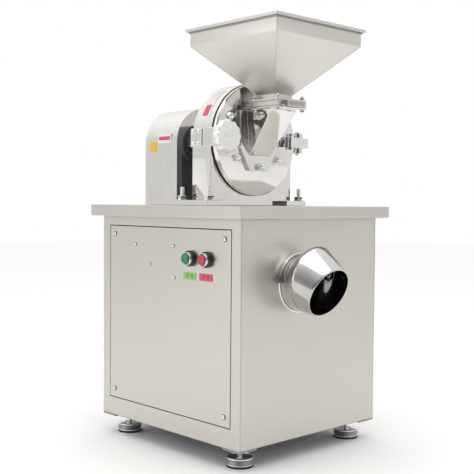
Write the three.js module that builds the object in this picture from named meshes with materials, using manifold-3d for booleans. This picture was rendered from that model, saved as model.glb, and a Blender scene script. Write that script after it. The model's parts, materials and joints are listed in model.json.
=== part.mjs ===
// Hammer mill on a cabinet: a table-top grinding head with a hopper, driven by a motor inside the cabinet.
// Millimetres, +Z up. The front (door, hopper, outlet) faces -Y and the control side faces -X.
// The model is laid out from the cabinet's centre, and the whole group is moved at the end so that
// its origin is at the bottom centre of the bounding box.

import * as THREE from "three";
import { mergeVertices } from "three/addons/utils/BufferGeometryUtils.js";
import Module from "manifold-3d";

const wasm = await Module();
wasm.setup();

// ---------------------------------------------------------------- driving dimensions

const seat = 0.3;        // between pieces that rest on each other
const running = 0.4;     // around what turns or slides
const nest = 0.8;        // between a curved piece and the round it lies on or in
const past = 1;          // how far a cutter runs past a face

const cabinet = { width: 450, depth: 490, skin: 3, bottom: 43 };
const table = { top: 561, sheet: 3, overhang: 22.6, rim: 27 };
const pad = { size: 52, height: 4.2, tray: 4 };
const foot = { radius: 30, inset: 47, soleHeight: 4, soleInset: 1.5, discHeight: 8, stem: 6,
  nut: 10, nutHeight: 8 };
const panel = { sides: 29.5, below: 44.5, above: 47.7, seam: 2, lip: 24, lipSheet: 2.5 };
const button = { drop: 65, edge: 74.5, apart: 54, cap: 12, capHeight: 6, travel: 4, stem: 5.5,
  bezel: 15, bezelHeight: 6.2, collar: 17.5, collarHeight: 9.7, barrel: 11, barrelLength: 16,
  block: 28, blockDepth: 26 };
const louvre = { rows: 7, pitch: 18, slot: 5, width: 110, spread: 85, z: 150 };
const gland = { x: -150, z: 105, radius: 12, length: 15, barrel: 9, bore: 5 };

const outlet = { x: -46, drop: 168, stub: 62, straight: 9, bell: 73, bellLean: 8, bellReach: 44, bellRise: 9,
  radius: 58, tilt: 26, noseReach: 43.2, noseDrop: 26, wall: 2.5, ringRim: 5, ringSheet: 3, entry: 5 };
const duct = { halfX: 52, halfY: 25, wall: 2.5, drop: 34 };

const mill = { under: 21.5, radius: 134, wall: 14, front: -47, rear: 17, rearWall: 10, mouthHalf: 48 };
const millFoot = { under: 39, beyond: 31, bolt: 16, front: -72, rear: 44, height: 12, boltFront: -61,
  boltRear: 33, hole: 6.5 };
const seal = { inset: 1.5, lap: 1, height: 3.4 };
const door = { inset: 2, height: 10, chamfer: 3, openHalf: 29, openBelow: 30.5, openAbove: 58.5 };
const screen = { gap: 7, sheet: 3, slots: 9, slot: 4, start: 8, rim: 6 };
const liner = { depth: 8, ribs: 9, rib: 5, start: 9 };

const spindle = { radius: 15, nose: 12, front: -42, step: 148, end: 206 };
const rotor = { hub: 24, front: -38, rear: -2, plate: 5, arm: 26, pinDepth: 54, pin: 5, armOver: 12 };
const hammer = { half: 10, length: 38, side: 2.5 };
const bearing = { radius: 31, width: 16, front: 24, rear: 85 };
const bearingBody = { radius: 48, rear: 105, wall: 6, postHalf: 40, postFront: 32, postRear: 92 };
const guard = { radius: 88, front: 130, rear: 256, sheet: 2.5, gap: 5 };
const drive = { front: 162, rear: 198, spindlePulley: 40, motorPulley: 62, flange: 6, flangeWidth: 3,
  belt: 4.5 };
const motor = { radius: 85, front: -25, rear: 150, shaft: 12, socket: 40, footHalf: 75, footFront: 5,
  footRear: 115, footHeight: 12, bedHalf: 105, bedFront: -15, bedRear: 135, bedHeight: 40.9, bedWall: 8 };

const chute = { plate: 10, plateHalf: 62, plateBelow: 73.5, plateTip: 30, shoulder: 18.5,
  plateAbove: 67.5, below: 36.5, lowHalf: 34, lowDepth: 3, above: 63.5, highHalf: 42, wall: 3 };
const gate = { stand: 27, halfX: 48, halfY: 44, flange: 4, height: 12, slotHalf: 34, blade: 3.2,
  bladeRise: 5, grip: 28, gripDepth: 9, gripHeight: 13, backStop: 4 };
const hopper = { stand: 59, throat: 26, neck: 28.5, rim: 148.7, rimHeight: 7, side: 140.5,
  sink: 32.5, coneHeight: 113, sideHeight: 39, wall: 3, flange: 5, flangeDrop: 17 };

const lock = { offset: 12, half: 21.5, outer: 11, lugRear: -2, lugFront: -42, tip: -31, shank: 7,
  shankPlay: 1.3, seatHeight: 12, grasp: 28, earDepth: 23, earRear: -44, washer: 14, washerHeight: 3,
  knob: 37.5, knobHeight: 18, lobes: 12, lobe: 6, neck: 22, boss: 14 };
const hinge = { offset: 18, y: -52, half: 24.5, knuckle: 12, ear: 13, earHeight: 11.7, pin: 5, head: 8,
  headHeight: 5, plate: 6.7, plateFront: -40, plateRear: 12, armDepth: 18, armReach: 74,
  spoolReach: 62, spoolDepth: 24, spool: 7.5, spoolEnd: 10.5, spoolHalf: 19.5, spoolCap: 7 };

// ---------------------------------------------------------------- solids

// Sides of a full circle, and steps of an outline's arc.
const FINE = 48;
const ROUND = 32;
const MEDIUM = 24;
const SMALL = 12;
const ARC = 18;

// Turns a closed three.js geometry into a solid.
function solid(geometry) {
  geometry.deleteAttribute("normal");
  geometry.deleteAttribute("uv");
  const merged = mergeVertices(geometry, 1e-4);
  return new wasm.Manifold(new wasm.Mesh({
    numProp: 3,
    vertProperties: new Float32Array(merged.attributes.position.array),
    triVerts: new Uint32Array(merged.index.array),
  }));
}

const join = (first, ...rest) => rest.reduce((whole, piece) => whole.add(piece), first);
const cut = (first, ...rest) => rest.reduce((whole, piece) => whole.subtract(piece), first);

// Box between two corners.
function box(x0, x1, y0, y1, z0, z1) {
  const geometry = new THREE.BoxGeometry(x1 - x0, y1 - y0, z1 - z0);
  return solid(geometry.translate((x0 + x1) / 2, (y0 + y1) / 2, (z0 + z1) / 2));
}

// Cylinder along X, Y or Z from one coordinate to another; a and b are its centre in the other two axes.
function rod(axis, radius, from, to, a, b, sides = MEDIUM) {
  const geometry = new THREE.CylinderGeometry(radius, radius, to - from, sides);
  const middle = (from + to) / 2;
  if (axis === "x") return solid(geometry.rotateZ(Math.PI / 2).translate(middle, a, b));
  if (axis === "y") return solid(geometry.translate(a, middle, b));
  return solid(geometry.rotateX(Math.PI / 2).translate(a, b, middle));
}

function pipe(axis, outer, inner, from, to, a, b, sides = MEDIUM) {
  return cut(rod(axis, outer, from, to, a, b, sides), rod(axis, inner, from - past, to + past, a, b, sides));
}

// Solid of revolution from [radius, height] pairs, turned about Z.
function turned(profile, sides = MEDIUM) {
  const points = profile.map(([r, h]) => new THREE.Vector2(r, h));
  return solid(new THREE.LatheGeometry(points, sides).rotateX(Math.PI / 2));
}

// Extrusion of an XZ outline along Y.
function alongY(shape, y0, y1) {
  const options = { depth: y1 - y0, bevelEnabled: false, curveSegments: ARC };
  const geometry = new THREE.ExtrudeGeometry(shape, options);
  return solid(geometry.rotateX(Math.PI / 2).translate(0, y1, 0));
}

const outline = (points) => new THREE.Shape(points.map(([x, y]) => new THREE.Vector2(x, y)));

// Closed skin over rings that have the same number of points, listed from the start of the run to its end.
function loft(rings) {
  const count = rings[0].length;
  const positions = rings.flat().flatMap((p) => [p.x, p.y, p.z]);
  const index = [];
  for (let i = 0; i + 1 < rings.length; i++) {
    for (let k = 0; k < count; k++) {
      const a = i * count + k;
      const b = i * count + (k + 1) % count;
      index.push(a, b, b + count, a, b + count, a + count);
    }
  }
  const last = (rings.length - 1) * count;
  for (let k = 1; k + 1 < count; k++) {
    index.push(0, k + 1, k, last, last + k, last + k + 1);
  }
  const geometry = new THREE.BufferGeometry();
  geometry.setAttribute("position", new THREE.Float32BufferAttribute(positions, 3));
  geometry.setIndex(index);
  return solid(geometry);
}

// Stack of level rectangles: each level is [z, half width in X, y low, y high].
function tower(levels) {
  return loft(levels.map(([z, half, y0, y1]) => [
    new THREE.Vector3(-half, y0, z), new THREE.Vector3(half, y0, z),
    new THREE.Vector3(half, y1, z), new THREE.Vector3(-half, y1, z)]));
}

// ---------------------------------------------------------------- scene graph

const machine = new THREE.Group();

function add(name, piece, material) {
  const mesh = piece.getMesh();
  const geometry = new THREE.BufferGeometry();
  geometry.setAttribute("position", new THREE.Float32BufferAttribute(mesh.vertProperties, mesh.numProp));
  geometry.setIndex(new THREE.BufferAttribute(new Uint32Array(mesh.triVerts), 1));
  geometry.computeVertexNormals();
  const object = new THREE.Mesh(geometry, material);
  object.name = name;
  machine.add(object);
}

const finish = (color, roughness, metalness) =>
  new THREE.MeshStandardMaterial({ color, roughness, metalness });
const satinSteel = finish(0xcbc6bd, 0.35, 1);
const polishedSteel = finish(0xdcdad6, 0.08, 1);
const chrome = finish(0xe4e4e2, 0.05, 1);
const darkSteel = finish(0x6f7072, 0.4, 1);
const aluminium = finish(0xeceae6, 0.35, 1);
const castIron = finish(0x55585a, 0.7, 0.6);
const blackRubber = finish(0x1c1c1d, 0.8, 0);
const blackPlastic = finish(0x26272a, 0.45, 0);
const greenPlastic = finish(0x28785f, 0.3, 0);
const redPlastic = finish(0xb44650, 0.3, 0);
const motorPaint = finish(0x4a5f78, 0.45, 0.1);

// ---------------------------------------------------------------- cabinet

const halfX = cabinet.width / 2;
const halfY = cabinet.depth / 2;
const innerX = halfX - cabinet.skin - seat;
const skinLow = cabinet.bottom + pad.height + seat;
const tableUnder = table.top - table.sheet;
const skinHigh = tableUnder - seat;
const trayHigh = skinLow + pad.tray;
const panelHalf = halfY - panel.sides;
const panelLow = skinLow + panel.below;
const panelHigh = skinHigh - panel.above;

function baseFrame() {
  let frame = box(-innerX, innerX, -halfY + cabinet.skin + seat, halfY - cabinet.skin - seat,
    cabinet.bottom + pad.height / 2, trayHigh);
  for (const sideX of [-1, 1]) {
    for (const sideY of [-1, 1]) {
      const x = [sideX * halfX, sideX * (halfX - pad.size)].sort((a, b) => a - b);
      const y = [sideY * halfY, sideY * (halfY - pad.size)].sort((a, b) => a - b);
      frame = frame.add(box(...x, ...y, cabinet.bottom, cabinet.bottom + pad.height));
    }
  }
  return frame;
}

// Levelling foot: a domed disc on a threaded stem with a lock nut, over a rubber sole.
function levellingFoot() {
  const low = foot.soleHeight + seat;
  const high = cabinet.bottom - seat;
  const nutLow = high - foot.nutHeight - seat;
  return turned([[0, low], [foot.radius, low], [foot.radius, low + foot.discHeight / 2],
    [foot.nut, low + foot.discHeight * 1.5], [foot.stem, low + foot.discHeight * 1.6], [foot.stem, nutLow],
    [foot.nut, nutLow], [foot.nut, high], [0, high]], MEDIUM);
}

function footSole() {
  const low = foot.radius - foot.soleInset;
  return turned([[0, 0], [low, 0], [foot.radius, foot.soleInset], [foot.radius, foot.soleHeight],
    [0, foot.soleHeight]], MEDIUM);
}

// The panel drops into an opening of the left skin and lies on a folded lip behind it.
function leftFrame() {
  const openY = panelHalf + panel.seam;
  const openLow = panelLow - panel.seam;
  const openHigh = panelHigh + panel.seam;
  const outside = -halfX;
  const inside = outside + cabinet.skin;
  const skin = cut(box(outside, inside, -halfY, halfY, skinLow, skinHigh),
    box(outside - past, inside + past, -openY, openY, openLow, openHigh));
  const lip = cut(
    box(inside, inside + panel.lipSheet, -openY - panel.seam, openY + panel.seam,
      openLow - panel.seam, openHigh + panel.seam),
    box(inside - past, inside + panel.lipSheet + past, -openY + panel.lip, openY - panel.lip,
      openLow + panel.lip, openHigh - panel.lip));
  return skin.add(lip);
}

function servicePanel() {
  const holes = [startY, stopY].map((y) =>
    rod("x", button.barrel + seat, -halfX - past, -halfX + cabinet.skin + past, y, buttonZ));
  return cut(box(-halfX, -halfX + cabinet.skin - seat, -panelHalf, panelHalf, panelLow, panelHigh), ...holes);
}

function frontSkin() {
  return cut(box(-innerX, innerX, -halfY, -halfY + cabinet.skin, skinLow, skinHigh),
    rod("y", outlet.stub + seat, -halfY - past, -halfY + cabinet.skin + past, outlet.x, outletZ, ROUND));
}

function rearSkin() {
  const holes = [rod("y", gland.barrel + seat, halfY - cabinet.skin - past, halfY + past, gland.x, gland.z)];
  for (const side of [-1, 1]) {
    for (let row = 0; row < louvre.rows; row++) {
      const z = louvre.z + row * louvre.pitch;
      holes.push(box(side * louvre.spread - louvre.width / 2, side * louvre.spread + louvre.width / 2,
        halfY - cabinet.skin - past, halfY + past, z, z + louvre.slot));
    }
  }
  return cut(box(-innerX, innerX, halfY - cabinet.skin, halfY, skinLow, skinHigh), ...holes);
}

// A sheet table folded down all round, open below, with a hole under the mill and a slot for the belt.
function tableTop() {
  const x = halfX + table.overhang;
  const y = halfY + table.overhang;
  const low = table.top - table.rim;
  const holeX = duct.halfX + duct.wall;
  const holeY = duct.halfY + duct.wall;
  const beltX = drive.motorPulley + drive.flange + drive.belt;
  const through = [tableUnder - past, table.top + past];
  return cut(box(-x, x, -y, y, low, table.top),
    box(-x + table.sheet, x - table.sheet, -y + table.sheet, y - table.sheet, low - past, tableUnder),
    box(-holeX, holeX, ductY - holeY, ductY + holeY, ...through),
    box(-beltX, beltX, drive.front - drive.flange, drive.rear + drive.flange, ...through));
}

function cableGland() {
  const low = -cabinet.skin - past;
  const body = turned([[gland.bore, low], [gland.barrel, low], [gland.barrel, seat], [gland.radius, seat],
    [gland.radius, gland.length * 0.6], [gland.radius * 0.75, gland.length], [gland.bore, gland.length],
    [gland.bore, low]], SMALL);
  return body.rotate([-90, 0, 0]).translate([gland.x, halfY, gland.z]);
}

// ---------------------------------------------------------------- push buttons

const buttonZ = panelHigh - button.drop;
const stopY = -panelHalf + button.edge;
const startY = stopY + button.apart;
const collarFace = -halfX - seat - button.collarHeight;
const bezelFace = collarFace - button.bezelHeight;
const capFace = bezelFace - button.travel + running;
const barrelEnd = -halfX + button.barrelLength + cabinet.skin;

function buttonHousing(y) {
  const whole = join(rod("x", button.collar, collarFace, -halfX - seat, y, buttonZ),
    rod("x", button.bezel, bezelFace, collarFace + past, y, buttonZ),
    rod("x", button.barrel, -halfX - seat - past, barrelEnd, y, buttonZ));
  const pocketEnd = capFace + button.capHeight + button.travel + running;
  return cut(whole,
    rod("x", button.cap + running, bezelFace - past, pocketEnd, y, buttonZ),
    rod("x", button.stem + running, bezelFace, barrelEnd + past, y, buttonZ, SMALL));
}

function buttonCap(y) {
  return join(rod("x", button.cap, capFace, capFace + button.capHeight, y, buttonZ),
    rod("x", button.stem, capFace + past, barrelEnd - button.travel, y, buttonZ, SMALL));
}

function contactBlock(y) {
  const half = button.block / 2;
  const face = barrelEnd + seat;
  return box(face, face + button.blockDepth, y - half, y + half, buttonZ - half, buttonZ + half);
}

// ---------------------------------------------------------------- discharge

const degrees = Math.PI / 180;
const outletZ = table.top - outlet.drop;
const ductY = mill.front + mill.mouthHalf / 2 + 3;

// The outlet's stations: a straight stub through the skin, a bell where it bends down, and the mouth.
const stubStart = -halfY + outlet.entry;
const bellY = -halfY - outlet.bellReach;
const mouthY = bellY - outlet.noseReach;
const outletStations = [
  { y: stubStart, z: outletZ, lean: 0, radius: outlet.stub },
  { y: -halfY - outlet.straight, z: outletZ, lean: 0, radius: outlet.stub },
  { y: bellY, z: outletZ + outlet.bellRise, lean: outlet.bellLean, radius: outlet.bell },
  { y: mouthY, z: outletZ + outlet.bellRise - outlet.noseDrop, lean: outlet.tilt, radius: outlet.radius },
];

// Skin over the stations, drawn in by the inset and carried past both ends.
function outletSkin(inset, reach) {
  return loft(outletStations.map(({ y, z, lean, radius }, i) => {
    const shift = i === 0 ? -reach : i === outletStations.length - 1 ? reach : 0;
    const slope = lean * degrees;
    return Array.from({ length: ROUND }, (_, k) => {
      const angle = 2 * Math.PI * k / ROUND;
      const rise = (radius - inset) * Math.sin(angle);
      return new THREE.Vector3(outlet.x + (radius - inset) * Math.cos(angle),
        y - shift * Math.cos(slope) - rise * Math.sin(slope),
        z - shift * Math.sin(slope) + rise * Math.cos(slope));
    });
  }));
}

const outletElbow = () => cut(outletSkin(0, 0), outletSkin(outlet.wall, past));

// Chute under the table, from a rounded rectangle below the mill to a circle at the outlet.
function dischargeDuct() {
  const top = tableUnder - seat;
  const end = stubStart + seat;
  const stations = [
    { at: [0, ductY, top], lean: 90, square: 1 },
    { at: [0, ductY, top - duct.drop], lean: 90, square: 1 },
    { at: [outlet.x * 0.3, ductY * 0.6 + end * 0.4 + 24, top - duct.drop * 2.4], lean: 52, square: 0.6 },
    { at: [outlet.x * 0.85, ductY * 0.3 + end * 0.7, outletZ + 14], lean: 20, square: 0.15 },
    { at: [outlet.x, end + outlet.stub / 2, outletZ], lean: 0, square: 0 },
    { at: [outlet.x, end, outletZ], lean: 0, square: 0 },
  ];
  const skin = (inset, reach) => loft(stations.map(({ at, lean, square }, i) => {
    const shift = i === 0 ? -reach : i === stations.length - 1 ? reach : 0;
    const slope = lean * degrees;
    const centre = [at[0], at[1] - shift * Math.cos(slope), at[2] - shift * Math.sin(slope)];
    const bulge = 1 - 0.65 * square;
    const wide = THREE.MathUtils.lerp(outlet.stub, duct.halfX, square) - inset;
    const deep = THREE.MathUtils.lerp(outlet.stub, duct.halfY, square) - inset;
    return Array.from({ length: MEDIUM }, (_, k) => {
      const angle = 2 * Math.PI * k / MEDIUM;
      const across = wide * Math.sign(Math.cos(angle)) * Math.abs(Math.cos(angle)) ** bulge;
      const rise = deep * Math.sign(Math.sin(angle)) * Math.abs(Math.sin(angle)) ** bulge;
      return new THREE.Vector3(centre[0] + across, centre[1] - rise * Math.sin(slope),
        centre[2] + rise * Math.cos(slope));
    });
  }));
  return cut(skin(0, 0), skin(duct.wall, past));
}

// ---------------------------------------------------------------- grinding head

const axis = table.top + mill.under + mill.radius;
const chamber = mill.radius - mill.wall;
const footTop = table.top + seat + millFoot.height;
const footInner = mill.radius - millFoot.under;
const footOuter = mill.radius + millFoot.beyond;

function millHousing() {
  const shape = new THREE.Shape();
  const low = table.top + seat;
  const step = footTop + seat;
  const inner = footInner - seat;
  shape.moveTo(inner, low).lineTo(inner, step).lineTo(mill.radius, step).lineTo(mill.radius, axis);
  shape.absarc(0, axis, mill.radius, 0, Math.PI, false);
  shape.lineTo(-mill.radius, step).lineTo(-inner, step).lineTo(-inner, low);
  const chamberRear = mill.rear - mill.rearWall;
  return cut(alongY(shape, mill.front, mill.rear),
    rod("y", chamber, mill.front - past, chamberRear, 0, axis, FINE),
    rod("y", spindle.radius + running * 5, chamberRear - past, mill.rear + past, 0, axis),
    box(-duct.halfX, duct.halfX, ductY - duct.halfY + duct.wall, ductY + duct.halfY - duct.wall, low - past,
      axis - chamber / 2));
}

function millFootPlate(side) {
  const x = [side * footInner, side * footOuter].sort((a, b) => a - b);
  const low = table.top + seat;
  const holes = [millFoot.boltFront, millFoot.boltRear].map((y) =>
    rod("z", millFoot.hole, low - past, footTop + past, side * (mill.radius + millFoot.bolt), y, SMALL));
  return cut(box(...x, millFoot.front, millFoot.rear, low, footTop), ...holes);
}

// Band of a ring in the XZ plane, between two angles counted in degrees from +X towards +Z.
function arcBand(outer, inner, from, to, y0, y1) {
  const shape = new THREE.Shape();
  shape.absarc(0, axis, outer, from * degrees, to * degrees, false);
  shape.absarc(0, axis, inner, to * degrees, from * degrees, true);
  return alongY(shape, y0, y1);
}

const chamberFront = mill.front + seat;
const chamberBack = mill.rear - mill.rearWall - seat;

function millScreen() {
  const outer = chamber - screen.gap;
  const band = arcBand(outer, outer - screen.sheet, 180 + screen.start, 360 - screen.start,
    chamberFront, chamberBack);
  const step = (180 - 2 * screen.start) / (screen.slots + 1);
  const slots = Array.from({ length: screen.slots }, (_, i) => {
    const slot = box(outer - 2 * screen.sheet, outer + screen.sheet, chamberFront + screen.rim,
      chamberBack - screen.rim, -screen.slot / 2, screen.slot / 2);
    return slot.rotate([0, screen.start + step * (i + 1), 0]).translate([0, 0, axis]);
  });
  return cut(band, ...slots);
}

function breakerLiner() {
  const inner = chamber - liner.depth;
  const band = arcBand(chamber - nest, (chamber + inner) / 2, liner.start, 180 - liner.start,
    chamberFront, chamberBack);
  const step = (180 - 2 * liner.start) / liner.ribs;
  const ribs = Array.from({ length: liner.ribs }, (_, i) => {
    const rib = box(inner, chamber - 3 * nest, chamberFront, chamberBack, -liner.rib / 2, liner.rib / 2);
    return rib.rotate([0, -(liner.start + step * (i + 0.5)), 0]).translate([0, 0, axis]);
  });
  return join(band, ...ribs);
}

const sealFace = mill.front - seat - seal.height;
const doorBack = sealFace - seat;
const doorFace = doorBack - door.height;
const doorRadius = mill.radius - door.inset;

function doorDisc() {
  const disc = turned([[0, 0], [doorRadius, 0], [doorRadius, door.height - door.chamfer],
    [doorRadius - door.chamfer, door.height], [0, door.height]], FINE);
  return cut(disc.rotate([90, 0, 0]).translate([0, doorBack, axis]),
    box(-door.openHalf, door.openHalf, doorFace - past, doorBack + past,
      axis - door.openBelow, axis + door.openAbove));
}

function bearingHousing() {
  const start = mill.rear + seat;
  const post = box(-bearingBody.postHalf, bearingBody.postHalf, bearingBody.postFront, bearingBody.postRear,
    table.top + seat, axis);
  return cut(join(rod("y", bearingBody.radius, start, bearingBody.rear, 0, axis, ROUND), post),
    rod("y", bearing.radius + seat, start + bearingBody.wall, bearingBody.rear + past, 0, axis, ROUND),
    rod("y", spindle.radius + running * 5, start - past, start + bearingBody.wall + past, 0, axis));
}

const bearingRing = (y) =>
  pipe("y", bearing.radius, spindle.radius + running, y, y + bearing.width, 0, axis, ROUND);

function spindleShaft() {
  return join(rod("y", spindle.radius, spindle.front, spindle.step, 0, axis),
    rod("y", spindle.nose, spindle.step - past, spindle.end, 0, axis));
}

const pinCircle = chamber - rotor.pinDepth;
const pinAngles = [45, 135, 225, 315];
const pinAt = (angle) => [pinCircle * Math.cos(angle * degrees),
  axis + pinCircle * Math.sin(angle * degrees)];

// Two crosses on a hub, with a pin between them at each arm for a swinging hammer.
function rotorHub() {
  const reach = pinCircle + rotor.armOver;
  let whole = rod("y", rotor.hub, rotor.front, rotor.rear, 0, axis);
  for (const y of [rotor.front, rotor.rear - rotor.plate]) {
    for (const turn of [45, -45]) {
      const arm = box(-reach, reach, y, y + rotor.plate, -rotor.arm / 2, rotor.arm / 2);
      whole = whole.add(arm.rotate([0, turn, 0]).translate([0, 0, axis]));
    }
  }
  for (const angle of pinAngles) {
    const [x, z] = pinAt(angle);
    whole = whole.add(rod("y", rotor.pin, rotor.front, rotor.rear, x, z, SMALL));
  }
  return whole.subtract(rod("y", spindle.radius + seat, rotor.front - past, rotor.rear + past, 0, axis));
}

// Hammer hanging straight down from its pin.
function swingHammer(angle) {
  const [x, z] = pinAt(angle);
  const y0 = rotor.front + rotor.plate + hammer.side;
  const y1 = rotor.rear - rotor.plate - hammer.side;
  return cut(join(box(x - hammer.half, x + hammer.half, y0, y1, z - hammer.length, z),
    rod("y", hammer.half, y0, y1, x, z, SMALL)),
    rod("y", rotor.pin + running, y0 - past, y1 + past, x, z, SMALL));
}

// ---------------------------------------------------------------- drive

function beltGuard() {
  const arch = (radius, low) => {
    const shape = new THREE.Shape();
    shape.moveTo(radius, low).lineTo(radius, axis);
    shape.absarc(0, axis, radius, 0, Math.PI, false);
    shape.lineTo(-radius, low);
    return shape;
  };
  return cut(alongY(arch(guard.radius, table.top + seat), guard.front, guard.rear),
    alongY(arch(guard.radius - guard.sheet, table.top - past), guard.front + guard.sheet,
      guard.rear - guard.sheet),
    rod("y", spindle.radius + guard.gap, guard.front - past, guard.front + guard.sheet + past, 0, axis));
}

function pulley(radius, bore, z) {
  const width = drive.rear - drive.front;
  const rim = radius + drive.flange;
  const profile = [[bore, 0], [rim, 0], [rim, drive.flangeWidth], [radius, drive.flangeWidth],
    [radius, width - drive.flangeWidth], [rim, width - drive.flangeWidth], [rim, width],
    [bore, width], [bore, 0]];
  return turned(profile, ROUND).rotate([-90, 0, 0]).translate([0, drive.front, z]);
}

function driveBelt() {
  const loop = (extra) => {
    const top = drive.spindlePulley + extra;
    const low = drive.motorPulley + extra;
    const tangent = Math.asin((low - top) / (axis - motorZ));
    const shape = new THREE.Shape();
    shape.absarc(0, axis, top, tangent, Math.PI - tangent, false);
    shape.absarc(0, motorZ, low, Math.PI - tangent, 2 * Math.PI + tangent, false);
    return shape;
  };
  const y0 = drive.front + drive.flangeWidth + running;
  const y1 = drive.rear - drive.flangeWidth - running;
  return cut(alongY(loop(nest + drive.belt), y0, y1), alongY(loop(nest), y0 - past, y1 + past));
}

const bedLow = trayHigh + seat;
const bedHigh = bedLow + motor.bedHeight;
const motorZ = bedHigh + seat + motor.footHeight + motor.radius;

function motorBody() {
  const feet = box(-motor.footHalf, motor.footHalf, motor.footFront, motor.footRear,
    motorZ - motor.radius - motor.footHeight, motorZ - motor.radius / 2);
  return cut(join(rod("y", motor.radius, motor.front, motor.rear, 0, motorZ, ROUND), feet),
    rod("y", motor.shaft + running, motor.rear - motor.socket, motor.rear + past, 0, motorZ));
}

function motorBed() {
  const inner = motor.bedHalf - motor.bedWall;
  return cut(box(-motor.bedHalf, motor.bedHalf, motor.bedFront, motor.bedRear, bedLow, bedHigh),
    box(-inner, inner, motor.bedFront - past, motor.bedRear + past, bedLow - past, bedHigh - motor.bedWall));
}

// ---------------------------------------------------------------- feed, carried by the door

const chuteBack = doorFace - seat;
const gateRear = doorFace - gate.stand;
const gateFront = gateRear - 2 * gate.halfY;
const hopperY = doorFace - hopper.stand;
const coneLow = axis + mill.radius - hopper.sink;
const hopperTop = coneLow + hopper.coneHeight + hopper.sideHeight;
const hopperFlangeLow = coneLow - hopper.flangeDrop;
const gateHigh = hopperFlangeLow - seat;
const gateLow = gateHigh - gate.height;
const chuteTop = gateLow - seat;
const bladeLow = gateLow + gate.bladeRise;

function feedChute() {
  const front = hopperY - hopper.throat - chute.wall;
  const shoulder = axis - chute.shoulder;
  const plateLow = axis - chute.plateBelow;
  const plateHigh = axis + chute.plateAbove;
  const plate = alongY(outline([[-chute.plateTip, plateLow], [chute.plateTip, plateLow],
    [chute.plateHalf, shoulder], [chute.plateHalf, plateHigh], [-chute.plateHalf, plateHigh],
    [-chute.plateHalf, shoulder]]), chuteBack - chute.plate, chuteBack);
  const lowFront = chuteBack - chute.plate - chute.lowDepth;
  const low = axis - chute.below;
  const high = axis + chute.above;
  const spout = tower([[low, chute.lowHalf, lowFront, chuteBack],
    [high, chute.highHalf, front, chuteBack], [chuteTop, chute.highHalf, front, chuteBack]]);
  const flange = box(-gate.halfX, gate.halfX, gateFront, gateRear, chuteTop - gate.flange, chuteTop);
  const bore = tower([
    [low + 2 * chute.wall, chute.lowHalf - chute.wall, lowFront + chute.wall, chuteBack + past],
    [high, chute.highHalf - chute.wall, front + chute.wall, chuteBack + past],
    [chuteTop - gate.flange, chute.highHalf - chute.wall, front + chute.wall, chuteBack + past]]);
  const throat = box(-hopper.throat, hopper.throat, hopperY - hopper.throat, hopperY + hopper.throat,
    chuteTop - gate.flange - past, chuteTop + past);
  return cut(join(spout, plate, flange), bore, throat);
}

function gateFrame() {
  return cut(box(-gate.halfX, gate.halfX, gateFront, gateRear, gateLow, gateHigh),
    box(-gate.slotHalf, gate.slotHalf, gateFront - past, gateRear - gate.backStop, bladeLow - seat,
      bladeLow + gate.blade + seat),
    box(-hopper.throat, hopper.throat, hopperY - hopper.throat, hopperY + hopper.throat, gateLow - past,
      gateHigh + past));
}

// Blade with a grip across its front edge.
function slideGate() {
  const gripRear = gateFront - gate.backStop;
  const gripLow = gateHigh - gate.gripHeight;
  const half = gate.slotHalf - running;
  return join(box(-half, half, gripRear - past, gateRear - gate.backStop - seat, bladeLow,
    bladeLow + gate.blade),
    box(-gate.grip, gate.grip, gripRear - gate.gripDepth, gripRear, gripLow, gateHigh));
}

function feedHopper() {
  const square = (z, half) => [z, half, hopperY - half, hopperY + half];
  const rimLow = hopperTop - hopper.rimHeight;
  const sideLow = coneLow + hopper.coneHeight;
  const neck = hopper.neck - hopper.wall;
  const side = hopper.side - hopper.wall;
  const outside = tower([square(hopperFlangeLow, hopper.neck), square(coneLow, hopper.neck),
    square(sideLow, hopper.side), square(hopperTop, hopper.side)]);
  const rim = box(-hopper.rim, hopper.rim, hopperY - hopper.rim, hopperY + hopper.rim, rimLow, hopperTop);
  const flange = box(-gate.halfX, gate.halfX, gateFront, gateRear, hopperFlangeLow,
    hopperFlangeLow + hopper.flange);
  const inside = tower([square(hopperFlangeLow - past, neck), square(coneLow, neck),
    square(sideLow, side), square(hopperTop + past, side)]);
  return cut(join(outside, rim, flange), inside);
}

// ---------------------------------------------------------------- door lock, -X side

const lockX = -mill.radius - lock.offset;
const lockLow = axis - lock.half;
const lockHigh = axis + lock.half;
const lockOuter = lockX - lock.outer;
const earFront = doorFace - lock.earDepth;

function lockLug() {
  return cut(box(lockOuter, -mill.radius - seat, lock.lugFront, lock.lugRear, lockLow, lockHigh),
    rod("y", lock.shank + lock.shankPlay, lock.lugFront - past, lock.tip + lock.seatHeight, lockX, axis));
}

function doorEar() {
  return cut(join(
    box(lockOuter, lockX + lock.outer - 1, earFront, lock.earRear, lockLow, lockHigh),
    box(lockOuter, -doorRadius + lock.grasp, earFront, doorFace - seat, lockLow, lockHigh)),
    rod("y", lock.shank + lock.shankPlay, earFront - past, lock.earRear + past, lockX, axis));
}

const washerFace = earFront - seat - lock.washerHeight;
const knobBack = earFront - lock.neck;

const lockWasher = () =>
  pipe("y", lock.washer, lock.shank + running, washerFace, earFront - seat, lockX, axis);

// Star knob with a threaded shank: twelve round lobes on a disc.
function starKnob() {
  const face = knobBack - lock.knobHeight;
  let whole = join(rod("y", lock.shank, face + past, lock.tip, lockX, axis),
    rod("y", lock.knob - lock.lobe, face, knobBack, lockX, axis, ROUND),
    rod("y", lock.boss, knobBack - past, washerFace - seat, lockX, axis));
  for (let i = 0; i < lock.lobes; i++) {
    const angle = 2 * Math.PI * i / lock.lobes;
    const reach = lock.knob - lock.lobe;
    whole = whole.add(rod("y", lock.lobe, face, knobBack, lockX + reach * Math.cos(angle),
      axis + reach * Math.sin(angle), SMALL));
  }
  return whole;
}

// ---------------------------------------------------------------- door hinge, +X side

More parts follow.
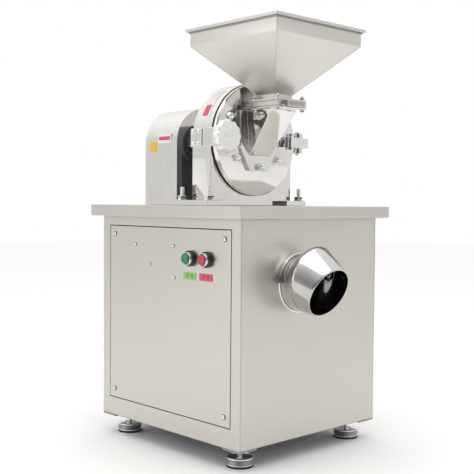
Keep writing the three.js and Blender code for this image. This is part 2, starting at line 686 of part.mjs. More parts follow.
const hingeX = mill.radius + hinge.offset;
const hingeLow = axis - hinge.half;
const hingeHigh = axis + hinge.half;
const armLow = hingeLow + hinge.earHeight + seat;
const armHigh = hingeHigh - hinge.earHeight - seat;

function hingeBracket() {
  const wall = mill.radius + seat;
  const ear = (z0, z1) => join(box(wall, hingeX, hinge.y, hinge.plateFront + past, z0, z1),
    rod("z", hinge.ear, z0, z1, hingeX, hinge.y));
  return cut(join(box(wall, wall + hinge.plate, hinge.plateFront, hinge.plateRear, hingeLow, hingeHigh),
    ear(hingeLow, hingeLow + hinge.earHeight), ear(hingeHigh - hinge.earHeight, hingeHigh)),
    rod("z", hinge.pin + seat, hingeLow - past, hingeHigh + past, hingeX, hinge.y, SMALL));
}

// Arm from the hinge pin round the door's edge to its face, with a spool-shaped clamping boss.
function hingeArm() {
  const front = doorFace - hinge.armDepth;
  const right = hingeX + hinge.knuckle;
  const spool = (radius, z0, z1) =>
    rod("z", radius, axis + z0, axis + z1, hingeX - hinge.spoolReach, doorFace - hinge.spoolDepth);
  return cut(join(rod("z", hinge.knuckle, armLow, armHigh, hingeX, hinge.y),
    box(hingeX - hinge.knuckle, right, front, hinge.y, armLow, armHigh),
    box(hingeX - hinge.armReach, right, front, doorFace - seat, armLow, armHigh),
    spool(hinge.spool, -hinge.spoolHalf, hinge.spoolHalf),
    spool(hinge.spoolEnd, -hinge.spoolHalf, -hinge.spoolHalf + hinge.spoolCap),
    spool(hinge.spoolEnd, hinge.spoolHalf - hinge.spoolCap, hinge.spoolHalf)),
    rod("z", hinge.pin + running, armLow - past, armHigh + past, hingeX, hinge.y, SMALL));
}

function hingePin() {
  const head = hingeHigh + seat;
  return join(rod("z", hinge.pin, hingeLow - hinge.headHeight, head + past, hingeX, hinge.y, SMALL),
    rod("z", hinge.head, head, head + hinge.headHeight, hingeX, hinge.y, SMALL));
}

// ---------------------------------------------------------------- assembly

add("base_frame", baseFrame(), darkSteel);
const corners = { front_left: [-1, -1], front_right: [1, -1], rear_left: [-1, 1], rear_right: [1, 1] };
for (const [corner, [sideX, sideY]] of Object.entries(corners)) {
  const at = [sideX * (halfX - foot.inset), sideY * (halfY - foot.inset), 0];
  add(`foot_${corner}`, levellingFoot().translate(at), chrome);
  add(`foot_sole_${corner}`, footSole().translate(at), blackRubber);
}
add("left_frame", leftFrame(), satinSteel);
add("service_panel", servicePanel(), satinSteel);
add("front_skin", frontSkin(), satinSteel);
add("right_skin", box(halfX - cabinet.skin, halfX, -halfY, halfY, skinLow, skinHigh), satinSteel);
add("rear_skin", rearSkin(), satinSteel);
add("table_top", tableTop(), satinSteel);
add("cable_gland", cableGland(), blackPlastic);

add("start_button", buttonCap(startY), greenPlastic);
add("stop_button", buttonCap(stopY), redPlastic);
add("start_bezel", buttonHousing(startY), chrome);
add("stop_bezel", buttonHousing(stopY), chrome);
add("start_contact_block", contactBlock(startY), blackPlastic);
add("stop_contact_block", contactBlock(stopY), blackPlastic);

add("outlet_ring", pipe("y", outlet.stub + outlet.ringRim, outlet.stub + seat,
  -halfY - seat - outlet.ringSheet, -halfY - seat, outlet.x, outletZ, ROUND), polishedSteel);
add("outlet_elbow", outletElbow(), polishedSteel);
add("discharge_duct", dischargeDuct(), satinSteel);

add("mill_housing", millHousing(), polishedSteel);
add("left_foot_plate", millFootPlate(-1), polishedSteel);
add("right_foot_plate", millFootPlate(1), polishedSteel);
add("screen", millScreen(), darkSteel);
add("breaker_liner", breakerLiner(), darkSteel);
add("bearing_housing", bearingHousing(), castIron);
add("front_bearing", bearingRing(bearing.front), chrome);
add("rear_bearing", bearingRing(bearing.rear), chrome);
add("spindle", spindleShaft(), darkSteel);
add("rotor_hub", rotorHub(), darkSteel);
pinAngles.forEach((angle, i) => add(`hammer_${i + 1}`, swingHammer(angle), darkSteel));

add("belt_guard", beltGuard(), polishedSteel);
add("spindle_pulley", pulley(drive.spindlePulley, spindle.nose + seat, axis), castIron);
add("drive_belt", driveBelt(), blackRubber);
add("motor", motorBody(), motorPaint);
add("motor_bed", motorBed(), darkSteel);
add("motor_shaft", rod("y", motor.shaft, motor.rear - motor.socket + past, drive.rear + drive.flange,
  0, motorZ), darkSteel);
add("motor_pulley", pulley(drive.motorPulley, motor.shaft + seat, motorZ), castIron);

add("door_seal", pipe("y", mill.radius - seal.inset, chamber + seal.lap, sealFace, mill.front - seat,
  0, axis, FINE), blackRubber);
add("door_disc", doorDisc(), polishedSteel);
add("feed_chute", feedChute(), polishedSteel);
add("gate_frame", gateFrame(), satinSteel);
add("slide_gate", slideGate(), satinSteel);
add("hopper", feedHopper(), satinSteel);

add("lock_lug", lockLug(), polishedSteel);
add("door_ear", doorEar(), polishedSteel);
add("lock_washer", lockWasher(), chrome);
add("star_knob", starKnob(), aluminium);
add("hinge_bracket", hingeBracket(), polishedSteel);
add("hinge_arm", hingeArm(), chrome);
add("hinge_pin", hingePin(), darkSteel);

// The origin goes to the bottom centre of the bounding box.
// The outlet's lip is its front and the table's edge its rear.
const frontEdge = mouthY - outlet.radius * Math.sin(outlet.tilt * degrees);
const rearEdge = halfY + table.overhang;
machine.position.y = -(frontEdge + rearEdge) / 2;

export default machine;
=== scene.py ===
# %% [markdown]
# # A hammer mill on a stainless cabinet
# This notebook gives a working CAD model its looks. The CAD frame already has every sheet, shaft and hinge at
# its real place. So each cell here either puts a finer surface where a CAD piece is, or adds a small piece,
# such as a nut or a label, that the CAD model leaves out. Shapes are worked out in millimetres, and
# object_from turns their points into metres, the frame's own unit.

# %% Load the frame
import json
import math

import bmesh
import bpy
import numpy as np
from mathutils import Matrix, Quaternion, Vector


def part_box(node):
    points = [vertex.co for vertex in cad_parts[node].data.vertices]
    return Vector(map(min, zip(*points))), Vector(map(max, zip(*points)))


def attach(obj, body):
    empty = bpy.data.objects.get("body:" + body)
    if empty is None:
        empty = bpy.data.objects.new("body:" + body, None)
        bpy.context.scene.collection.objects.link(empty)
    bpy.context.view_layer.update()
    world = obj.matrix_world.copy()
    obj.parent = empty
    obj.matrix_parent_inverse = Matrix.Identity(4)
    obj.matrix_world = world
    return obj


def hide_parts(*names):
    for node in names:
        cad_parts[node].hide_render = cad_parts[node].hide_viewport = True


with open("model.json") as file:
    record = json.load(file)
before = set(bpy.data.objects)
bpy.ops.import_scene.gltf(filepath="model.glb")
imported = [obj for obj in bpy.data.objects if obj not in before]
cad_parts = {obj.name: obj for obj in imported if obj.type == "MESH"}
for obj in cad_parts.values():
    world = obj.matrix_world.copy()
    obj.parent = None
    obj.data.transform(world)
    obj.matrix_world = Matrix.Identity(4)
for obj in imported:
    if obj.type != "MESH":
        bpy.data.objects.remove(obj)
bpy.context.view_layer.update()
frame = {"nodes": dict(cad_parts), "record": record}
MM = 0.001


def span(node):
    """Lowest and highest corner of a CAD node, in millimetres."""
    low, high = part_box(node)
    return np.array(low) / MM, np.array(high) / MM


def centre_of(node):
    """Middle of a CAD node's box: half the sum of its lowest and highest corners."""
    low, high = span(node)
    return (low + high) / 2


middle = centre_of("table_top")
housing_low, housing_high = span("mill_housing")
mill_radius = (housing_high[0] - housing_low[0]) / 2
shaft_z = housing_high[2] - mill_radius
print("shaft height", round(shaft_z, 1), "mm, radius of the grinding head", round(mill_radius, 1), "mm")

# %% [markdown]
# ## Camera
# The machine is seen from its front left corner, from just above the table, so that both cabinet sides show.
# The camera comes first, because everything after it is judged through it. A long lens keeps the uprights
# parallel. The view direction is worked out from two angles, and a third one rolls the camera about it.

# %% Camera
camera_data = bpy.data.cameras.new("camera")
camera = bpy.data.objects.new("camera", camera_data)
bpy.context.scene.collection.objects.link(camera)
bpy.context.scene.camera = camera
camera_data.lens = 66.44
camera_data.sensor_width = 36.0
camera_data.clip_end = 50
turn, dip, roll = math.radians(-43.47), math.radians(-2.305), math.radians(0.458)
camera.location = (-1.4721, middle[1] * MM - 1.5487, 0.5701)
ahead = Vector((-math.sin(turn) * math.cos(dip), math.cos(turn) * math.cos(dip), math.sin(dip)))
camera.rotation_mode = "QUATERNION"
camera.rotation_quaternion = ahead.to_track_quat("-Z", "Y") @ Quaternion((0, 0, 1), roll)
print("camera looks along", [round(part, 3) for part in ahead])

# %% [markdown]
# ## Shader maths
# A material is a graph of nodes. Wiring each node by hand takes five lines, so one small class wraps a socket
# and overloads Python's operators: `rough + noise * 0.1` then adds the two Math nodes that work it out. A
# second class makes any other node from its type, its settings and its inputs.

# %% Node helpers: sockets as values


class Value:
    """Wraps a socket, so that an expression on values adds the Math nodes that work it out."""

    def __init__(self, tree, socket):
        self.tree, self.socket = tree, socket

    def math(self, operation, *others, clamp=False):
        """Math node on this value and the others; clamp keeps the result between 0 and 1."""
        node = self.tree.nodes.new("ShaderNodeMath")
        node.operation, node.use_clamp = operation, clamp
        for slot, value in enumerate((self, *others)):
            feed(self.tree, node.inputs[slot], value)
        return Value(self.tree, node.outputs[0])

    def __add__(self, other):
        return self.math("ADD", other)

    def __sub__(self, other):
        return self.math("SUBTRACT", other)

    def __mul__(self, other):
        return self.math("MULTIPLY", other)

    def __rsub__(self, other):
        return (self * -1).math("ADD", other)

    def __abs__(self):
        return self.math("ABSOLUTE")

    def clip(self):
        """The value kept between 0 and 1."""
        return self.math("ADD", 0.0, clamp=True)

    __radd__, __rmul__ = __add__, __mul__


def feed(tree, socket, value):
    """Links a wrapped value to a socket, or sets a plain one on it."""
    if isinstance(value, Value):
        tree.links.new(value.socket, socket)
    else:
        socket.default_value = value


# %% Node helpers: one method for any node


class Graph:
    """A material's or world's node tree, with one method that makes any node."""

    def __init__(self, tree):
        self.tree = tree
        tree.nodes.clear()

    def node(self, kind, settings=None, output=0, **inputs):
        """Node of a type; an input's name has an underscore for each space."""
        node = self.tree.nodes.new(kind)
        for key, value in (settings or {}).items():
            setattr(node, key, value)
        for key, value in inputs.items():
            feed(self.tree, node.inputs[key.replace("_", " ")], value)
        return Value(self.tree, node.outputs[output])

    def place(self, scale=(1, 1, 1)):
        """Object coordinates, stretched by a Mapping node."""
        point = self.node("ShaderNodeTexCoord", output="Object")
        return self.node("ShaderNodeMapping", Vector=point, Scale=scale)

    def noise(self, scale, detail=2.0, stretch=(1, 1, 1)):
        """Noise between 0 and 1; a small stretch along an axis draws the pattern out along it."""
        return self.node("ShaderNodeTexNoise", Vector=self.place(stretch), Scale=scale, Detail=detail)

    def axes(self, vector):
        """The three parts of a vector, as values."""
        split = self.tree.nodes.new("ShaderNodeSeparateXYZ")
        feed(self.tree, split.inputs[0], vector)
        return [Value(self.tree, socket) for socket in split.outputs]

    def mix(self, factor, low, high):
        """Colour that goes from low to high as the factor goes from 0 to 1."""
        node = self.tree.nodes.new("ShaderNodeMix")
        node.data_type = "RGBA"
        factor_slot, low_slot, high_slot = node.inputs[0], node.inputs[6], node.inputs[7]
        feed(self.tree, factor_slot, factor)
        feed(self.tree, low_slot, low)
        feed(self.tree, high_slot, high)
        colour_slot = node.outputs[2]
        return Value(self.tree, colour_slot)

    def bump(self, height, strength, distance):
        """Normal bent by a height that a value gives, over a distance in metres."""
        return self.node("ShaderNodeBump", Height=height, Strength=strength, Distance=distance)

    def finish(self, target, shader):
        """Links a shader to the tree's output node."""
        out = self.tree.nodes.new(target)
        self.tree.links.new(shader.socket, out.inputs["Surface"])

    def surface(self, **inputs):
        """Principled shader as the material's surface."""
        self.finish("ShaderNodeOutputMaterial", self.node("ShaderNodeBsdfPrincipled", **inputs))


def ramp(graph, value, stops):
    """Colour ramp from (position, grey) stops."""
    node = graph.tree.nodes.new("ShaderNodeValToRGB")
    elements = node.color_ramp.elements
    while len(elements) < len(stops):
        elements.new(1.0)
    for element, (position, grey) in zip(elements, stops):
        element.position = position
        element.color = (grey, grey, grey, 1)
    feed(graph.tree, node.inputs[0], value)
    return Value(graph.tree, node.outputs[0])


# %% [markdown]
# ## Studio
# Polished steel shows the room more than itself. A real product studio is a white tent with a dark opening
# where the camera stands, and that opening gives the metal its dark accents. The world is built the
# same way: plain white to the eye, but as light and in reflections it falls off to a dark patch behind the
# camera's place, with a few soft bands that the polished sides pick up. Two wide area lights stand for the
# lamps overhead and at the left.

# %% World
scene = bpy.context.scene
scene.view_settings.view_transform = "Standard"
world = bpy.data.worlds.new("studio")
scene.world = world
world.use_nodes = True
room = Graph(world.node_tree)
direction = room.node("ShaderNodeTexCoord", output="Generated")
dir_x, dir_y, dir_z = room.axes(direction)
toward_camera = dir_x * math.sin(turn) + dir_y * -math.cos(turn)
opening_stops = [(0.0, 1.0), (0.72, 0.92), (0.86, 0.5), (0.94, 0.13), (1.0, 0.08)]
opening = ramp(room, toward_camera * 0.5 + 0.5, opening_stops)
bands = room.node("ShaderNodeTexWave", {"wave_type": "BANDS", "bands_direction": "X"}, output="Fac",
                  Vector=direction, Scale=1.3, Distortion=3.0, Detail=1.0)
level = (1 - abs(dir_z)).clip()
band_depth, ceiling_gain, room_strength = 0.1, 0.9, 0.88
tent = opening * (1 - level * bands * band_depth)
ceiling = (dir_z - 0.25).clip() * ceiling_gain
warm_white, cool_white = (1, 0.985, 0.96, 1), (0.98, 0.985, 1, 1)
light = room.node("ShaderNodeBackground", Color=room.mix(0.5, warm_white, cool_white),
                  Strength=(tent + ceiling) * room_strength)
plain = room.node("ShaderNodeBackground", Color=(1, 1, 1, 1), Strength=1.0)
seen = room.node("ShaderNodeLightPath", output="Is Camera Ray")
both = room.tree.nodes.new("ShaderNodeMixShader")
for slot, value in enumerate((seen, light, plain)):
    feed(room.tree, both.inputs[slot], value)
room.finish("ShaderNodeOutputWorld", Value(room.tree, both.outputs[0]))
print("world nodes", len(world.node_tree.nodes))

# %% Lights


def softbox(name, at, aim, size, power):
    """Area light at a point, turned towards another."""
    data = bpy.data.lights.new(name, "AREA")
    data.shape, data.size, data.size_y, data.energy = "RECTANGLE", *size, power
    lamp = bpy.data.objects.new(name, data)
    scene.collection.objects.link(lamp)
    lamp.location = at
    lamp.rotation_mode = "QUATERNION"
    lamp.rotation_quaternion = (Vector(aim) - Vector(at)).to_track_quat("-Z", "Y")
    print(name, power, "watts")


softbox("overhead", at=(-0.3, -0.4, 3.0), aim=(0, 0, 0.5), size=(2.6, 2.6), power=22)
softbox("left_wall", at=(-2.6, 0.9, 1.3), aim=(0, 0, 0.6), size=(1.6, 2.2), power=9)

# %% Floor


def object_from(name, points, faces):
    """Mesh object from points in millimetres, with its place in the mesh and no transform of its own."""
    mesh = bpy.data.meshes.new(name)
    mesh.from_pydata((np.asarray(points, float) * MM).tolist(), [], [list(map(int, f)) for f in faces])
    mesh.update()
    made = bpy.data.objects.new(name, mesh)
    scene.collection.objects.link(made)
    return made


reach = 9000
floor_corners = [(-reach, -reach, 0), (reach, -reach, 0), (reach, reach, 0), (-reach, reach, 0)]
floor = object_from("floor", floor_corners, [(0, 1, 2, 3)])
floor_paint = bpy.data.materials.new("floor_paint")
floor_paint.use_nodes = True
paper = Graph(floor_paint.node_tree)
paper.surface(Base_Color=(0.9, 0.9, 0.895, 1), Roughness=0.85 + paper.noise(40.0) * 0.1)
floor.data.materials.append(floor_paint)
print("floor is", 2 * reach, "mm wide")

# %% [markdown]
# ## Surfaces from arrays
# A turned piece, a plate or a pipe is a stack of rings. Every ring has the same number of points, and faces
# join each ring to the next. If the last ring also joins the first, the surface closes on itself like a tyre,
# which is what any piece with a hole through it needs. The rings are worked out as one numpy array, so no
# vertex is placed by hand.

# %% Rings to mesh


def smooth(made, sharp=32.0):
    """Smooth shading, broken at edges that turn by more than an angle in degrees."""
    made.data.polygons.foreach_set("use_smooth", [True] * len(made.data.polygons))
    made.data.set_sharp_from_angle(angle=math.radians(sharp))


def close_up(made, sharp=32.0):
    """Merges doubled points and turns every face outwards."""
    shape = bmesh.new()
    shape.from_mesh(made.data)
    bmesh.ops.remove_doubles(shape, verts=shape.verts, dist=1e-6)
    bmesh.ops.recalc_face_normals(shape, faces=shape.faces)
    shape.to_mesh(made.data)
    shape.free()
    smooth(made, sharp)
    return made


def from_rings(name, rings, capped=False, sharp=32.0):
    """Quads between each ring and the next. The stack joins its own start, unless it is capped."""
    rings = np.asarray(rings, float)
    count, around = rings.shape[:2]
    index = np.arange(count * around).reshape(count, around)
    above, beside = np.roll(index, -1, 0), np.roll(index, -1, 1)
    quads = np.stack([index, beside, np.roll(above, -1, 1), above], -1)
    faces = quads[:-1] if capped else quads
    faces = faces.reshape(-1, 4).tolist()
    if capped:
        faces += [index[0].tolist(), index[-1].tolist()]
    return close_up(object_from(name, rings.reshape(-1, 3), faces), sharp)


def merged(name, pieces):
    """One object from several closed shells."""
    whole = bmesh.new()
    for piece in pieces:
        whole.from_mesh(piece.data)
        bpy.data.objects.remove(piece)
    mesh = bpy.data.meshes.new(name)
    whole.to_mesh(mesh)
    whole.free()
    made = bpy.data.objects.new(name, mesh)
    scene.collection.objects.link(made)
    smooth(made)
    return made


# %% [markdown]
# No real edge is razor sharp. Each corner P of an outline is cut back along both of its sides, to A and B,
# and a curve that bends towards P joins them. One outline then serves twice: turned about an axis it makes a
# foot or a knob, and pushed along an axis it makes a plate.

# %% Rounded outlines, turned pieces and plates


def rounded(points, radius, steps=3, fixed=None):
    """Closed polyline whose corners P become curves (1-s)^2 A + 2 s (1-s) P + s^2 B, for s from 0 to 1."""
    points = np.asarray(points, float)
    steps_from = [np.roll(points, shift, 0) - points for shift in (1, -1)]
    ends = []
    for step in steps_from:
        length = np.maximum(np.linalg.norm(step, axis=1, keepdims=True), 1e-9)
        share = np.minimum(radius / length, 0.45)
        if fixed is not None:
            share = np.where(fixed[:, None], 0.0, share)
        ends.append(points + step * share)
    s = np.linspace(0, 1, steps + 1)[None, :, None]
    start, corner, end = ends[0][:, None], points[:, None], ends[1][:, None]
    curve = (1 - s) ** 2 * start + 2 * s * (1 - s) * corner + s**2 * end
    return curve.reshape(-1, points.shape[1])


def basis(along):
    """Unit vector along an axis and two more across it, right-handed."""
    along = np.asarray(along, float) / np.linalg.norm(along)
    helper = np.array([1.0, 0, 0]) if abs(along[2]) > 0.9 else np.array([0, 0, 1.0])
    across = np.cross(helper, along)
    across /= np.linalg.norm(across)
    return along, across, np.cross(along, across)


to_left, to_front, to_back, upward = (-1, 0, 0), (0, -1, 0), (0, 1, 0), (0, 0, 1)


def lathe(name, profile, centre, along, segments=64, radius=0.5, swell=None, sharp=32.0):
    """Turns a closed (radius, height) profile: centre + height * axis + radius * (cos t * u + sin t * v)."""
    profile = np.asarray(profile, float)
    outline = rounded(profile, radius, fixed=profile[:, 0] < 1e-9)
    turn_by = np.linspace(0, 2 * np.pi, segments, endpoint=False)[None, :]
    wide, high = outline[:, :1] + 0 * turn_by, outline[:, 1:] + 0 * turn_by
    if swell is not None:
        wide, high = swell(wide, high, turn_by)
    axis, u, v = basis(along)
    rings = (np.asarray(centre, float) + high[..., None] * axis + (wide * np.cos(turn_by))[..., None] * u
             + (wide * np.sin(turn_by))[..., None] * v)
    return from_rings(name, rings, sharp=sharp)


def inset(outline, depth):
    """Moves each point of a counterclockwise outline inwards along the bisector of its two edges."""
    before = outline - np.roll(outline, 1, 0)
    after = np.roll(outline, -1, 0) - outline
    normals = [np.stack([-edge[:, 1], edge[:, 0]], 1) / np.linalg.norm(edge, axis=1, keepdims=True)
               for edge in (before, after)]
    cosine = (normals[0] * normals[1]).sum(1, keepdims=True)
    return outline + (normals[0] + normals[1]) * (depth / np.maximum(1 + cosine, 0.3))


def slab(name, outline, low, high, centre, along, radius=0.8, sharp=32.0):
    """Plate with rounded rims: the outline runs up the axis and is drawn in by radius * (1 - sin a)."""
    outline = np.asarray(outline, float)
    quarter = np.linspace(0, np.pi / 2, 4)
    draw = radius * (1 - np.sin(quarter))
    rise = radius * (1 - np.cos(quarter))
    levels = [(d, low + r) for d, r in zip(draw, rise)]
    levels += [(d, high - r) for d, r in zip(draw[::-1], rise[::-1])]
    axis, u, v = basis(along)
    rings = []
    for depth, level in levels:
        flat = inset(outline, depth)
        rings.append(np.asarray(centre, float) + level * axis + flat[:, :1] * u + flat[:, 1:] * v)
    return from_rings(name, rings, capped=True, sharp=sharp)


def ring_cut(inner, outer, low, high):
    """Profile of a plain ring or washer, or of a disc if its inner radius is 0."""
    return [(inner, low), (outer, low), (outer, high), (inner, high)]


def ring_of(sides, radius):
    """Regular outline: radius * (cos, sin) at equal angles."""
    angle = np.linspace(0, 2 * np.pi, sides, endpoint=False)
    return np.stack([np.cos(angle), np.sin(angle)], 1) * radius


def rectangle(width, height, corner, steps=4):
    """Outline of a rectangle whose corners are rounded."""
    box = np.array([(-1, -1), (1, -1), (1, 1), (-1, 1)]) * (width / 2, height / 2)
    return rounded(box, corner, steps)


# %% [markdown]
# ## Copies of CAD pieces
# A folded sheet or a milled block is already right in the CAD model, apart from its razor edges. Real sheet
# has a bend radius and a block has broken edges, and those thin highlights are what make metal look like
# metal. So such a node is copied, its triangles are merged back into whole faces, and a Bevel modifier rounds
# the edges.

# %% Dressing a piece, and refined copies
node_body = {node: body for body, nodes in frame["record"]["behaviour"]["bodies"].items() for node in nodes}
node_slot = {row["node"]: row["material_slot"] for row in frame["record"]["subparts"]}
finishes = {}
made_pieces = []


def dress(piece, body, finish, *stands_for, slot=None):
    """Gives a piece its material, body and replaced CAD nodes; the slot (named as its finish if none is said)
    is not used.
    """
    slot = slot or finish
    piece.data.materials.clear()
    piece.data.materials.append(finishes[finish])
    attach(piece, body)
    if stands_for:
        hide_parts(*stands_for)
    made_pieces.append(piece.name)
    print(piece.name, "moves with", body)


def refined(node, width, finish=None, segments=2, sharp=30.0):
    """Merged copy of a CAD node with its edges rounded, by a width in millimetres, by a Bevel modifier."""
    shape = bmesh.new()
    shape.from_mesh(frame["nodes"][node].data)
    bmesh.ops.remove_doubles(shape, verts=shape.verts, dist=2e-6)
    bmesh.ops.dissolve_limit(shape, angle_limit=math.radians(0.6), verts=shape.verts, edges=shape.edges)
    mesh = bpy.data.meshes.new(node + "_finished")
    shape.to_mesh(mesh)
    shape.free()
    made = bpy.data.objects.new(node + "_finished", mesh)
    scene.collection.objects.link(made)
    smooth(made, sharp)
    bevel = made.modifiers.new("edges", "BEVEL")
    bevel.width, bevel.segments = width * MM, segments
    bevel.limit_method, bevel.angle_limit = "ANGLE", math.radians(sharp)
    bevel.harden_normals = True
    dress(made, node_body[node], finish or node_slot[node], node, slot=node_slot[node])


print("CAD nodes to dress", len(frame["nodes"]))

# %% [markdown]
# ## Finishes
# The sheet metal is satin stainless: fine upright scratches, and soft clouds from handling. The grinding head
# is polished, so its roughness is low and only faint wipe marks disturb it. Scratches could be geometry, but
# they are far thinner than a polygon, so stretched noise in the roughness and a slight bump draw them.

# %% Sheet metals


def new_finish(name):
    """Empty node graph of a new material, kept under its name."""
    material = bpy.data.materials.new(name)
    material.use_nodes = True
    finishes[name] = material
    return Graph(material.node_tree)


def brushed(name, dark, bright, rough, streak, spread=0.05, dent=0.02):
    """Satin metal: scratches run along the axis whose streak is small."""
    paint = new_finish(name)
    scratch = paint.noise(700.0, 3.0, streak)
    cloud = paint.noise(5.0, 2.0)
    wipe = paint.noise(26.0, 4.0, (1, 1, 0.35))
    shade = (scratch * 0.45 + cloud * 0.35 + wipe * 0.2).clip()
    roughness = rough + (scratch - 0.5) * spread + (cloud - 0.5) * spread
    paint.surface(Base_Color=paint.mix(shade, dark, bright), Metallic=1.0, Roughness=roughness,
                  Normal=paint.bump(scratch * 0.6 + cloud * 0.4, dent, 0.0004))


def mirror(name, dark, bright, rough, wave=0.03):
    """Polished metal: faint wipe marks in the roughness, and a slow waviness from the polishing wheel."""
    paint = new_finish(name)
    swirl = paint.noise(38.0, 4.0, (1, 1, 0.5))
    hairline = paint.noise(900.0, 1.0, (1, 1, 0.015))
    wavy = paint.noise(11.0, 1.0)
    smear = (swirl - 0.45).clip() * 0.22
    paint.surface(Base_Color=paint.mix(swirl, dark, bright), Metallic=1.0,
                  Roughness=rough + smear + hairline * 0.02, Normal=paint.bump(wavy, wave, 0.004))


upright, level_grain = (1, 1, 0.012), (1, 0.04, 1)
brushed("satin_steel", (0.565, 0.54, 0.495, 1), (0.645, 0.625, 0.58, 1), 0.34, upright)
brushed("matt_steel", (0.63, 0.605, 0.565, 1), (0.70, 0.68, 0.64, 1), 0.36, upright)
brushed("dark_steel", (0.26, 0.26, 0.27, 1), (0.40, 0.40, 0.41, 1), 0.36, level_grain, 0.12, 0.05)
mirror("polished_steel", (0.74, 0.72, 0.70, 1), (0.84, 0.83, 0.81, 1), 0.06)
mirror("outlet_steel", (0.43, 0.425, 0.43, 1), (0.64, 0.625, 0.60, 1), 0.05)
mirror("chrome", (0.76, 0.76, 0.76, 1), (0.88, 0.88, 0.87, 1), 0.05, 0.01)
print("sheet finishes", len(finishes))

# %% Castings, paint and rubber


def cast_metal(name, low, high, rough, metal, grain, dent):
    """Casting: sand grain in the bump, and darker hollows between the grains."""
    paint = new_finish(name)
    sand = paint.noise(grain, 4.0)
    cloud = paint.noise(grain / 12, 2.0)
    paint.surface(Base_Color=paint.mix((sand * 0.6 + cloud * 0.5).clip(), low, high), Metallic=metal,
                  Roughness=rough + (sand - 0.5) * 0.2, Normal=paint.bump(sand, dent, 0.0006))


cast_metal("aluminium", (0.76, 0.755, 0.74, 1), (0.93, 0.925, 0.91, 1), 0.34, 0.6, 380.0, 0.2)
cast_metal("cast_iron", (0.10, 0.105, 0.11, 1), (0.20, 0.205, 0.21, 1), 0.62, 0.7, 260.0, 0.35)
cast_metal("motor_paint", (0.035, 0.06, 0.10, 1), (0.06, 0.095, 0.15, 1), 0.42, 0.1, 300.0, 0.15)
cast_metal("rubber", (0.012, 0.012, 0.012, 1), (0.03, 0.03, 0.03, 1), 0.78, 0.0, 420.0, 0.2)
print("finishes so far", len(finishes))

# %% Plastics and print


def moulded(name, low, high, rough=0.35, coat=0.3):
    """Moulded plastic or ink: slight mottling in the colour and an orange-peel bump."""
    paint = new_finish(name)
    mottle = paint.noise(120.0, 3.0)
    peel = paint.noise(900.0, 1.0)
    paint.surface(Base_Color=paint.mix(mottle, low, high), Roughness=rough + mottle * 0.08, Coat_Weight=coat,
                  Normal=paint.bump(peel, 0.06, 0.0003))


moulded("black_plastic", (0.012, 0.012, 0.014, 1), (0.03, 0.03, 0.034, 1), 0.38, 0.0)
moulded("green_plastic", (0.004, 0.16, 0.085, 1), (0.01, 0.23, 0.13, 1), 0.22, 0.4)
moulded("red_plastic", (0.42, 0.02, 0.04, 1), (0.55, 0.04, 0.06, 1), 0.22, 0.4)
moulded("print_green", (0.24, 0.50, 0.08, 1), (0.30, 0.56, 0.11, 1))
moulded("ink_green", (0.11, 0.30, 0.04, 1), (0.15, 0.36, 0.06, 1))
moulded("ink_red", (0.40, 0.02, 0.05, 1), (0.46, 0.03, 0.07, 1))
moulded("print_red", (0.62, 0.045, 0.09, 1), (0.70, 0.07, 0.12, 1))
moulded("print_yellow", (0.75, 0.45, 0.03, 1), (0.85, 0.53, 0.05, 1))
moulded("print_white", (0.78, 0.78, 0.76, 1), (0.86, 0.86, 0.85, 1))
print("finishes in all", len(finishes))

# %% [markdown]
# ## Cabinet
# The cabinet is folded sheet, so its skins keep their CAD shape with rounded folds.

# %% Skins and table
cabinet_folds = {"base_frame": 0.8, "left_frame": 0.7, "service_panel": 0.8, "front_skin": 0.6,
                 "right_skin": 0.9, "rear_skin": 0.6, "table_top": 2.2}
for node, fold in cabinet_folds.items():
    refined(node, fold)

# %% [markdown]
# A levelling foot is a turned barrel with a ridged grip, on a rubber sole, and a threaded stem rises from it
# to a lock nut. One half profile gives barrel, dome and thread. The darker ridges are a ring of their own.

# %% Levelling feet
stem, nut, nut_high, pitch, thread_deep = 6, 10, 8, 1.6, 0.7
groove_low, groove_high, groove_deep = 3.4, 13.6, 1.8
corners = ("front_left", "front_right", "rear_left", "rear_right")
foot_bands = []
for corner in corners:
    low, high = span("foot_" + corner)
    sole_top = span("foot_sole_" + corner)[1][2]
    spot = (*centre_of("foot_" + corner)[:2], 0.0)
    wide, base, top = (high[0] - low[0]) / 2, low[2], high[2]
    inner, nut_low = wide - groove_deep, top - nut_high
    turns = np.arange(base + 22.5, nut_low - 1.5, pitch)
    thread = [(stem - thread_deep * (i % 2), z) for i, z in enumerate(turns)]
    barrel = [(0, base), (wide - 1, base), (wide, base + 1), (wide, base + 3),
              (inner, base + groove_low), (inner, base + groove_high), (wide, base + 14),
              (wide, base + 16.6), (wide - 2, base + 18), (17, base + 19.5),
              (9.5, base + 21.5), (stem, base + 22)]
    ridges = [(wide - (0.5 if i % 2 else 1.0), base + (4.0 + 0.6 * i)) for i in range(16)]
    band = [(inner + 0.1, base + 3.6), *ridges, (inner + 0.1, base + 13.4)]
    foot_bands.append(lathe("band", band, spot, upward, 48, 0.1))
    profile = barrel + thread + [(stem, nut_low), (0, nut_low)]
    foot = lathe("foot", profile, spot, upward, 48, 0.6)
    lock_nut = slab("lock_nut", ring_of(6, nut), nut_low + 0.1, top, spot, upward, 0.9)
    whole_foot = merged("levelling_foot_" + corner, [foot, lock_nut])
    dress(whole_foot, "cabinet", "chrome", "foot_" + corner)
    tread = [(0, 0), (wide - 5, 0), (wide - 1.5, 0.3), (wide, 1.6),
             (wide - 0.8, 2.4), (wide, 3.2), (wide - 0.4, sole_top), (0, sole_top)]
    sole = lathe("rubber_sole_" + corner, tread, spot, upward, 48, 0.5)
    dress(sole, "cabinet", "rubber", "foot_sole_" + corner)
dress(merged("foot_bands", foot_bands), "cabinet", "dark_steel")

# %% [markdown]
# The service panel is held by domed screws. Each stands on a thin dark washer, which draws the fine shadow
# round it that a real one has.

# %% Panel screws
panel_low, panel_high = span("service_panel")
panel_x = panel_low[0]
skin_gap = 0.05


